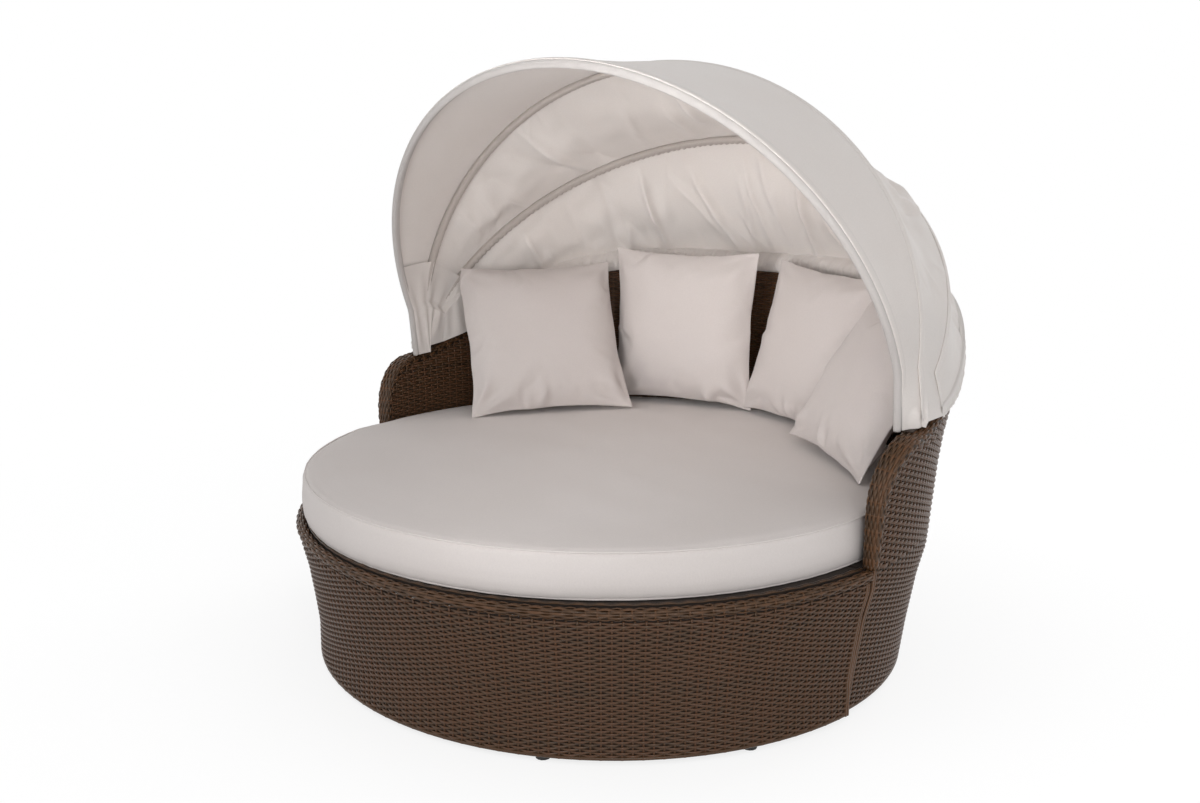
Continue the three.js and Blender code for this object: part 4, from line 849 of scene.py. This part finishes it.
for number, (yaw, lean_back, roll, size, loft, shift, tuck) in enumerate(PILLOWS, 1):
    middle = np.mean(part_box(f"pillow_{number}"), axis=0) + np.array(shift)
    turn = np.eye(3)
    for angle, axis in ((yaw, "Z"), (-lean_back, "X"), (roll, "Y")):
        turn = turn @ np.array(Matrix.Rotation(math.radians(angle), 3, axis))
    verts, faces = pillow_shape(size, loft, 60 + number)
    flat = verts[:, [0, 2, 1]]
    verts = verts @ turn.T + middle - np.array([0, SHIFT_Y, 0])
    # where the pillow meets the wall or the canopy behind it, it is pressed in
    reach, height = np.hypot(verts[:, 0], verts[:, 1]), np.maximum(verts[:, 2], DECK)
    wall_top = edge_height(np.abs(np.arctan2(verts[:, 0], -verts[:, 1])), 0.0)
    room = wall_inner(np.minimum(height, wall_top)) - 0.006 - tuck * np.maximum(height - wall_top, 0)
    verts[:, :2] *= (1 - np.maximum(reach - room, 0) / reach)[:, None]
    shape = Shape()
    shape.add(verts, faces, 0.5, flat)
    piece = shape.make(f"pillow_{number}_cushion", pillow_cloth, "rear_section", [f"pillow_{number}"])
    bpy.context.view_layer.objects.active = piece
    smoother = piece.modifiers.new("smoother", "SUBSURF")
    smoother.levels = smoother.render_levels = 1
    with bpy.context.temp_override(object=piece, active_object=piece):
        bpy.ops.object.modifier_apply(modifier="smoother")

# ---------------------------------------------------------------- canopy
ARC, LEGS, SPANS = 440, 40, 48       # steps along a bow, along each leg, and across a panel
CLOTH = 0.0016


def bow_up(name):
    tilt = math.radians(TILTS[name])
    return np.array([0, -math.sin(tilt), math.cos(tilt)])


def plane_normal(tilt):
    """Normal of the plane through the pivots that a bow of that tilt lies in."""
    tilt = math.radians(tilt)
    return np.array([0, -math.cos(tilt), -math.sin(tilt)])


def bow_points(name, turn, lift):
    """Points of a bow's cloth line. turn goes from 0 at the right leg's top to pi at the left's."""
    width, rise = BOWS[name]
    along = LEG + (rise + lift) * np.sin(turn)
    beside = (width + lift) * np.cos(turn)
    return beside[:, None] * np.array([1.0, 0, 0]) + along[:, None] * bow_up(name) + HEART


def cloth_line(name, lift=LIFT):
    arc = bow_points(name, np.linspace(0, math.pi, ARC + 1), lift)
    share = np.linspace(1, 0, LEGS + 1)[:-1, None]
    hem = np.array(HEMS[name])
    return np.concatenate([arc[0] * (1 - share) + hem * share, arc,
                           (arc[-1] * (1 - share) + hem * MIRROR * share)[::-1]])


def facing_line(name, side):
    """From the arm's top edge up a bow's leg, inside the bow."""
    foot = np.array(FACING_FEET[name]) * np.array([side, 1, 1])
    top = HEART + bow_up(name) * LEG
    top[0] = side * (BOWS["front"][0] - LIFT)
    share = np.linspace(0, 1, 30)[:, None]
    arc = bow_points(name, np.linspace(0, math.pi / 16, 10)[1:], -LIFT)
    arc[:, 0] *= side
    return np.concatenate([foot * (1 - share) + top * share, arc])


def panel_grid(a, b, first, second, spans, displace):
    """A whole panel between two lines, its middle column on the plane midway between the bows."""
    normal = plane_normal((TILTS[first] + TILTS[second]) / 2)
    da, db = (a - HEART) @ normal, (b - HEART) @ normal
    share = np.clip(da / np.where(np.abs(da - db) < 1e-9, 1e-9, da - db), 0.3, 0.7)
    middle = a + (b - a) * share[:, None]
    middle = middle - ((middle - HEART) @ normal)[:, None] * normal
    v = np.linspace(0, 1, spans + 1)
    half = spans // 2
    near = a[:, None, :] + (middle - a)[:, None, :] * (v[:half + 1] * 2)[None, :, None]
    far = middle[:, None, :] + (b - middle)[:, None, :] * (v[half:] * 2 - 1)[None, :, None]
    grid = np.concatenate([near, far[:, 1:]], 1)
    along = lengths(middle)
    amount = displace(along[:, None] / along[-1], v[None, :], np.linalg.norm(b - a, axis=-1)[:, None])
    return grid + unit(HEART - grid) * amount[..., None]


def normals_of(grid):
    """Normals of a grid of points, turned away from the middle of the canopy."""
    normals = unit(np.cross(np.gradient(grid, axis=0), np.gradient(grid, axis=1)))
    return -normals if (normals * (grid - HEART)).sum() < 0 else normals


def make_sheet(name, points, normals, body, stands_for=(), squash=None):
    nu, nv = points.shape[:2]
    u, v = lengths(points[:, nv // 2]), lengths(points[nu // 2])
    flat = np.stack(np.broadcast_arrays(u[:, None], v[None, :], 0.0), -1).reshape(-1, 3)
    verts, faces = grid_slab(points, normals, CLOTH)
    shape = Shape()
    shape.add(verts, faces, 0.5, np.concatenate([flat, flat]))
    both_sides = np.concatenate([normals.reshape(-1, 3), -normals.reshape(-1, 3)])
    piece = shape.make(name, canvas, body, list(stands_for), both_sides)
    if squash:
        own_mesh(piece)


def two_halves(name, first, second, grid):
    """Splits a panel midway between two bows. Each half goes with its own bow, or with the rear section at
    the brim.
    """
    normals = normals_of(grid)
    half = grid.shape[1] // 2
    at_brim = second == "brim"
    for part, columns, body, bow, stands_for in (
            ("a", slice(0, half + 1), f"{first}_bow", first, [name]),
            ("b", slice(half, None), "rear_section" if at_brim else f"{second}_bow", second, [])):
        make_sheet(f"{name}_{part}", grid[:, columns], normals[:, columns], body,
                   stands_for,
                   (f"{first}_bow_hinge", plane_normal(TILTS[bow]), FOLDED_SHARE[first]))


def ridge(u, v, at, wide, lie, v0, v1, height):
    """A soft fold that crosses the panel near u = at, leaning with v."""
    centre = at + lie * (v - 0.5) + 0.25 * lie * np.sin(3.1 * v + 40 * at)
    fade = ease((v - v0) / 0.25) * ease((v1 - v) / 0.25)
    return height * np.exp(1.0 - 1.6 * np.sqrt(((u - centre) / wide) ** 2 + 0.39)) * fade


def ridges(u, v, r, places, *ranges):
    """Folds near the places, each with a shift and ridge's numbers, drawn from a range or fixed."""
    total = 0.0
    for at in places:
        shift, *rest = [r.uniform(*item) if isinstance(item, tuple) else item for item in ranges]
        total = total + ridge(u, v, at + shift, *rest)
    return total


def freedom(u):
    return ease((from_ends(u) - 0.07) / 0.12)


def sagging(v, width, sag, folds, power, free):
    """The cloth's sag and folds, none at the bows and less where the panel narrows."""
    return (sag * np.sin(math.pi * v) ** 2 + folds * np.sin(math.pi * np.clip(v, 0, 1)) ** power) * free \
        * np.minimum(width / 0.3, 1)


def front_fold(u, v, width):
    return sagging(v, width, 0.004, 0.0, 1.0, freedom(u))


def top_fold(u, v, width):
    r = np.random.default_rng(5)
    folds = ridges(u, v, r, np.arange(0.12, 0.9, 0.036), (-0.014, 0.014), (0.006, 0.013), (-0.07, 0.07),
                   (-0.2, 0.3), (0.6, 1.2), (-0.020, 0.034))
    for at in np.arange(0.1, 0.92, 0.021):
        reach = (-0.2, (0.3, 0.5)) if r.uniform() < 0.5 else ((0.5, 0.7), 1.2)
        folds = folds + ridges(u, v, r, [at], (-0.01, 0.01), (0.003, 0.006), (-0.1, 0.1), *reach,
                               (-0.009, 0.014))
    where = np.stack(np.broadcast_arrays(u * 2.6, v * 0.42), -1)
    soft = 0.0030 * wobble(where, 0.22, 8) + 0.0014 * wobble(where, 0.09, 9)
    return sagging(v, width, 0.020, folds + soft, 0.7, freedom(u))


def rear_fold(u, v, width):
    r = np.random.default_rng(15)
    folds = ridges(u, v, r, np.arange(0.06, 0.95, 0.027), (-0.012, 0.012), (0.005, 0.011), (-0.05, 0.05),
                   (-0.2, 0.35), (0.8, 1.4), (-0.018, 0.030))
    folds = folds + ridges(u, v, r, np.arange(0.08, 0.93, 0.015), (-0.008, 0.008), (0.003, 0.005),
                           (-0.05, 0.05), (0.45, 0.75), 1.4, (-0.008, 0.013))
    where = np.stack(np.broadcast_arrays(u * 2.8, v * 0.5), -1)
    soft = 0.0032 * wobble(where, 0.25, 18) + 0.0014 * wobble(where, 0.10, 19)
    folds = folds * ease((from_ends(u) - 0.07) / 0.13)
    return sagging(v, width, 0.016, folds + soft, 0.6, ease(from_ends(u) / 0.1))


cloth_lines = {name: cloth_line(name) for name in BOWS}
grid = panel_grid(cloth_lines["front"], cloth_lines["middle"], "front", "middle", SPANS, front_fold)
# beside the pivots the band stands out over the bolt and its nut
away = np.hypot(grid[..., 1] - PIVOT_Y, grid[..., 2] - PIVOT_Z)
over_bolt = ease((0.036 - away) / 0.022) * ease((np.linspace(0, 1, SPANS + 1) - 0.12) / 0.3)
grid[..., 0] += np.sign(grid[..., 0]) * np.maximum(0.8955 - np.abs(grid[..., 0]), 0) * over_bolt
two_halves("canopy_front_band", "front", "middle", grid)
grid = panel_grid(cloth_lines["middle"], cloth_lines["rear"], "middle", "rear", SPANS, top_fold)
two_halves("canopy_top_panel", "middle", "rear", grid)

# rear panel, from the rear bow to the brim on the wall's edge
WRAP = 0.0062                        # from the wall's outer skin to the cloth
HEM_DROPS = [(0, 0), (0.04, 0.09), (0.15, 0.95), (0.2, 1), (1, 1)]
brim_start = math.acos(-(HEMS["rear"][1] - 0.012) / (float(wall_outer(ARM)) + WRAP))


def brim_line(share):
    """Angle and heights of the wall's top, the hem's lower edge and the brim, from arm to arm."""
    angle = brim_start + 2 * (math.pi - brim_start) * share
    top = edge_height(np.minimum(angle, 2 * math.pi - angle), 0.0)
    hem = top + 0.004 - 0.042 * lookup(HEM_DROPS, from_ends(share) * 2)
    return angle, top, hem, np.maximum(top + 0.004, hem + 0.006)


share = np.linspace(0, 1, ARC + 1)
angle, top, hem, brim_z = brim_line(share)
brim = polar(wall_outer(np.minimum(brim_z, top)) + WRAP, angle, brim_z)
grid = panel_grid(bow_points("rear", math.pi * share, LIFT), brim, "rear", "brim", SPANS, rear_fold)
two_halves("canopy_rear_panel", "rear", "brim", grid)

# hem that wraps over the wall's edge and hangs outside
angle, top, hem, brim_z = brim_line(np.linspace(0, 1, 700))
along = np.concatenate([[0], np.cumsum(np.abs(np.diff(angle)) * 0.96)])
gather = 0.0016 * np.sin(along * 2 * math.pi / 0.021 + 2 * np.sin(along * 9))
gather += 0.0010 * np.sin(along * 2 * math.pi / 0.0134)
brim_radius = wall_outer(np.minimum(brim_z, top)) + WRAP
rows = [polar(brim_radius - 0.012, angle, brim_z + 0.022), polar(brim_radius + 0.0005, angle, brim_z + 0.024)]
for down in np.linspace(0, 1, 14):
    z = brim_z + 0.002 + (hem - brim_z) * down
    belly = 0.0028 * math.sin(math.pi * down) + gather * math.sin(math.pi * min(down + 0.12, 1.0)) + 0.0015
    rows.append(polar(wall_outer(np.minimum(z, top)) + WRAP + belly, angle, z))
grid = np.stack(rows, 1)
make_sheet("canopy_outer_hem", grid, normals_of(grid), "rear_section")


# facings that cover the pivots
def facing_fold(u, v, width):
    bulge = np.sin(math.pi * v)
    pull = 0.0045 * np.sin(v * 2 * math.pi * 1.6 + 1.1) * bulge ** 0.6 * ease(u / 0.25) * ease((1 - u) / 0.4)
    return pull - 0.0135 * ease((u - 0.55) / 0.45) * bulge ** 0.5


for side, label in ((1, "right"), (-1, "left")):
    for first, second in (("front", "middle"), ("middle", "rear")):
        grid = panel_grid(facing_line(first, side), facing_line(second, side), first, second, 24, facing_fold)
        two_halves(f"canopy_facing_{'front' if first == 'front' else 'rear'}_{label}", first, second, grid)
    # the last part runs from the rear bow back along the arm's inner edge
    a = facing_line("rear", side)
    share = np.linspace(0, 1, len(a))[:, None]
    b = np.array(FACING_END) * np.array([side, 1, 1]) * (1 - share) + a[-1] * share
    v = np.linspace(0, 1, 17)[None, :]
    grid = a[:, None, :] * (1 - v[..., None]) + b[:, None, :] * v[..., None]
    fan = np.sin(v * 2 * math.pi * 2.2 + 0.6) * (1 - share) ** 0.7 * np.sin(math.pi * share) ** 0.5
    grid[..., 0] -= side * 0.004 * (fan + np.sin(math.pi * v) * (1 - share))
    normals = unit(np.cross(np.gradient(grid, axis=0), np.gradient(grid, axis=1)))
    if (normals[..., 0] * -side).sum() < 0:
        normals = -normals
    make_sheet(f"canopy_facing_end_{label}", grid, normals, "rear_bow", (),
               ("rear_bow_hinge", plane_normal(TILTS["rear"]), 0.35))

# hem over the inside of the back's top edge
angle = np.linspace(math.radians(108), math.radians(252), 900)
top = edge_height(angle, 0.0)
along = (angle - angle[0]) * 0.9
ends = 0.2 + 0.8 * ease((angle - angle[0]) / 0.45) * ease((angle[-1] - angle) / 0.45)
gather = 0.6 * np.sin(along * 2 * math.pi / 0.026 + 2.2 * np.sin(along * 11))
gather += 0.4 * np.sin(along * 2 * math.pi / 0.0155 + 1)
puff = 0.5 + 0.5 * wobble(np.stack([along, along * 0], -1), 0.22, 71)
rows = []
for inside, up, loose in ((0.054, 0.044, 0.0), (0.034, 0.030, 0.3), (0.014, 0.021, 0.7), (0.002, 0.013, 1.0),
                          (-0.006, 0.004, 1.0), (-0.0095, -0.006, 1.0), (-0.009, -0.015, 0.8),
                          (-0.0065, -0.022, 0.5), (-0.0045, -0.026, 0.3)):
    radius = wall_inner(top) + (inside * ends if inside > 0 else inside)
    radius = radius - loose * (0.0022 * gather + 0.005 * puff)
    height = up * (ends if up > 0.02 else 1) * (1 + 0.25 * loose * puff) + 0.0008 * gather * loose
    rows.append(polar(radius, angle, top + height))
grid = np.stack(rows, 1)
fine = np.linspace(0, len(rows) - 1, 25)
lower = np.floor(fine).astype(int).clip(0, len(rows) - 2)
t = (fine - lower)[None, :, None]
grid = grid[:, lower] * (1 - t) + grid[:, lower + 1] * t
smooth(grid.swapaxes(0, 1), 3)
make_sheet("canopy_inner_hem", grid, normals_of(grid), "rear_section")


# sleeves round the bows, and the flat seams outside them
def bow_trim(label, name, path, turn, outline, look, ruche=0.0, fade=0):
    """A strip along a bow. outline has (to the front, outwards) pairs round the strip's section."""
    normal = plane_normal(TILTS[name])
    out = unit(np.cross(unit(np.gradient(path, axis=0)), normal))
    length = lengths(path)
    outline = np.array(outline)
    section = np.repeat(outline[None], len(path), 0)
    section[..., 1] -= 0.29 * np.sin(np.clip(turn, 0, math.pi))[:, None] * np.abs(outline[:, 0])
    if fade:
        rank = np.arange(len(path))
        kept = ease(np.minimum(rank, len(path) - 1 - rank) / fade)
        section[..., 1] = (section[..., 1] + 0.0022) * kept[:, None] - 0.0022
    wave = np.sin(length * 2 * math.pi / 0.019 + 1.8 * np.sin(length * 7))
    wave += 0.5 * np.sin(length * 2 * math.pi / 0.031)
    gathered = ruche * wave[:, None] * (outline[:, 1] < 0) * np.clip(-outline[:, 0] / 0.01 + 0.4, 0, 1)
    section[..., 1] *= 1 + gathered
    section[..., 0] *= 1 + 0.6 * gathered
    verts, faces = sweep(path, normal, out, section)
    sides = len(outline)
    round_it = np.tile(np.arange(sides) * 0.004, len(path))
    flat = np.stack([np.repeat(length, sides), round_it, np.zeros(len(verts))], -1)
    shape = Shape()
    shape.add(verts, faces, 0.5, flat)
    shape.make(label, look, f"{name}_bow")


ROLL = [(0.0120, 0.0085), (0.0116, 0.0000), (0.0098, -0.0056), (0.0060, -0.0086), (0.0, -0.0096),
        (-0.0050, -0.0088), (-0.0090, -0.0064), (-0.0104, -0.0020), (-0.0120, 0.0046), (-0.0160, 0.0076),
        (-0.0160, 0.0084), (-0.0100, 0.0087), (0.0, 0.0088), (0.0070, 0.0088)]
HEM_ROLL = [(0.0104, 0.0050), (0.0108, -0.0030), (0.0092, -0.0078), (0.0030, -0.0096), (-0.0050, -0.0094),
            (-0.0105, -0.0064), (-0.0136, -0.0020), (-0.0140, 0.0040), (-0.0080, 0.0084), (0.0, 0.0105),
            (0.0070, 0.0096)]
SEAM = [(0.0125, -0.0010), (0.0128, 0.0010), (0.0105, 0.0020), (0.0050, 0.0030), (0.0, 0.0034),
        (-0.0050, 0.0030), (-0.0105, 0.0020), (-0.0128, 0.0010), (-0.0125, -0.0010), (0.0, -0.0006)]
for name, ruche, steps, outline, look, seam_shift in (
        ("front", 0.0, 560, HEM_ROLL, hem_painted_shade, 0.0115), ("middle", 0.05, 560, ROLL, piping, 0.0),
        ("rear", 0.16, 900, ROLL, piping, 0.0)):
    turn = np.linspace(0, math.pi, steps)
    legs = []
    for side in (1, -1):
        top = np.array([side * BOWS[name][0], 0, 0]) + HEART
        share = np.linspace(0, 1, 24)[:-1, None]
        end = top + 0.062 * bow_up(name)
        if name == "front":
            end = (np.array(HEMS[name]) + np.array(FACING_FEET[name])) / 2 * np.array([side, 1, 1])
        else:
            share = share * 0.45 + 0.55
        legs.append(end * (1 - share) + (top + LEG * bow_up(name)) * share)
    path = np.concatenate([legs[0], bow_points(name, turn, -0.0003), legs[1][::-1]])
    smooth(path, 8)
    turn = np.concatenate([np.zeros(23), turn, np.full(23, math.pi)])
    bow_trim(f"canopy_sleeve_{name}", name, path, turn, outline, look, ruche)
    turn = np.concatenate([np.zeros(LEGS), np.linspace(0, math.pi, ARC + 1), np.full(LEGS, math.pi)])
    path = cloth_line(name, LIFT + 0.0004)
    seam = [(a - seam_shift, b) for a, b in SEAM]
    bow_trim(f"canopy_seam_{name}", name, path[5:-5], turn[5:-5], seam, canvas, fade=24)

# ---------------------------------------------------------------- materials of the CAD nodes that stay
frame_metal = plain_look("frame_coat", srgb(52, 42, 35), srgb(66, 54, 46), 0.5, 0.1)
bow_metal = plain_look("bow_metal", srgb(150, 148, 145), srgb(170, 168, 164), 0.35, 0.9)
steel = plain_look("steel", srgb(176, 176, 172), srgb(196, 196, 192), 0.3, 1.0)
glide = plain_look("glide_rubber", srgb(24, 23, 22), srgb(38, 36, 34), 0.65)
deck_look = plain_look("deck_board", srgb(30, 21, 16), srgb(40, 29, 21), 0.8)
# the first word found in a node's name gives its look, and the last entry fits them all
NODE_LOOKS = [("glide", glide), ("spacer", glide), ("frame", frame_metal), ("bracket_r", frame_metal),
              ("bracket_l", frame_metal), ("screw", steel), ("bolt", steel), ("nut", steel),
              ("bow_", bow_metal), ("deck", deck_look), ("", canvas)]
for name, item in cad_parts.items():
    for slot in item.material_slots:
        slot.material = next(look for word, look in NODE_LOOKS if word in name)

# ---------------------------------------------------------------- floor, light and camera
floor_look, tree, shader = new_look("floor", Roughness=0.95, Specular_IOR_Level=0.1)
where = place(tree)
pale = ramp(tree, noise(tree, 8, 2, 0.5, where), [(0.3, (0.88, 0.88, 0.88, 1)), (0.7, (0.90, 0.90, 0.90, 1))])
tree.links.new(pale, shader.inputs["Base Color"])
far = node(tree, "VectorMath", {0: where}, operation="LENGTH").outputs["Value"]
away = node(tree, "MapRange", {"Value": far, "From Min": 1.1, "From Max": 3.2},
            interpolation_type="SMOOTHSTEP")
grey = node(tree, "BsdfDiffuse", {"Color": (0.30, 0.30, 0.30, 1)}).outputs[0]
glow = node(tree, "Emission", {"Strength": 0.78}).outputs[0]
both = node(tree, "AddShader", {0: grey, 1: glow}).outputs[0]
white = node(tree, "Emission", {"Strength": 1.0}).outputs[0]
fade = node(tree, "MixShader", {0: away.outputs["Result"], 1: both, 2: white}).outputs[0]
choose = node(tree, "MixShader", {0: seen(tree), 1: shader.outputs[0], 2: fade}).outputs[0]
tree.links.new(choose, tree.nodes["Material Output"].inputs["Surface"])
bpy.ops.mesh.primitive_plane_add(size=60, location=(0, 0, 0))
floor = bpy.context.object
floor.name = "floor"
floor.data.materials.append(floor_look)

world = bpy.data.worlds.new("studio")
bpy.context.scene.world = world
world.use_nodes = True
tree = world.node_tree
background = tree.nodes["Background"]
background.inputs["Color"].default_value = (0.99, 0.995, 1.0, 1)
background.inputs["Strength"].default_value = 0.58
white = node(tree, "Background", {"Color": (1, 1, 1, 1), "Strength": 1.0}).outputs[0]
pick = node(tree, "MixShader", {0: seen(tree), 1: background.outputs[0], 2: white}).outputs[0]
tree.links.new(pick, tree.nodes["World Output"].inputs["Surface"])


def lamp(name, place_at, target, size, power):
    data = bpy.data.lights.new(name, "AREA")
    data.shape = "DISK"
    data.size = size
    data.energy = power
    item = bpy.data.objects.new(name, data)
    item.location = place_at
    item.rotation_euler = (Vector(target) - Vector(place_at)).to_track_quat("-Z", "Y").to_euler()
    bpy.context.scene.collection.objects.link(item)
    return item


lamp("key", (-2.2, -5.2, 3.2), (0, 0, 0.9), 3.0, 36)
lamp("back", (0.6, 5.4, 2.6), (0, 0, 0.9), 3.0, 75)
lamp("fill", (4.2, -4.2, 2.2), (0, 0, 0.9), 3.0, 100)
inner = lamp("inner", (0.40, -1.70, 1.10), (0.06, 0.85, 1.24), 0.8, 3.7)
inner.data.spread = 1.05
inner.visible_camera = False
inner.visible_glossy = False

camera_data = bpy.data.cameras.new("camera")
camera_data.sensor_width = 36
camera_data.sensor_fit = "HORIZONTAL"
camera_data.lens = 37.159
camera = bpy.data.objects.new("camera", camera_data)
camera.location = (2.1324, -2.7307, 1.408)
camera.rotation_euler = Vector((-0.6155, 0.7599, -0.2090)).to_track_quat("-Z", "Y").to_euler()
bpy.context.scene.collection.objects.link(camera)
bpy.context.scene.camera = camera
bpy.context.scene.view_settings.view_transform = "Standard"
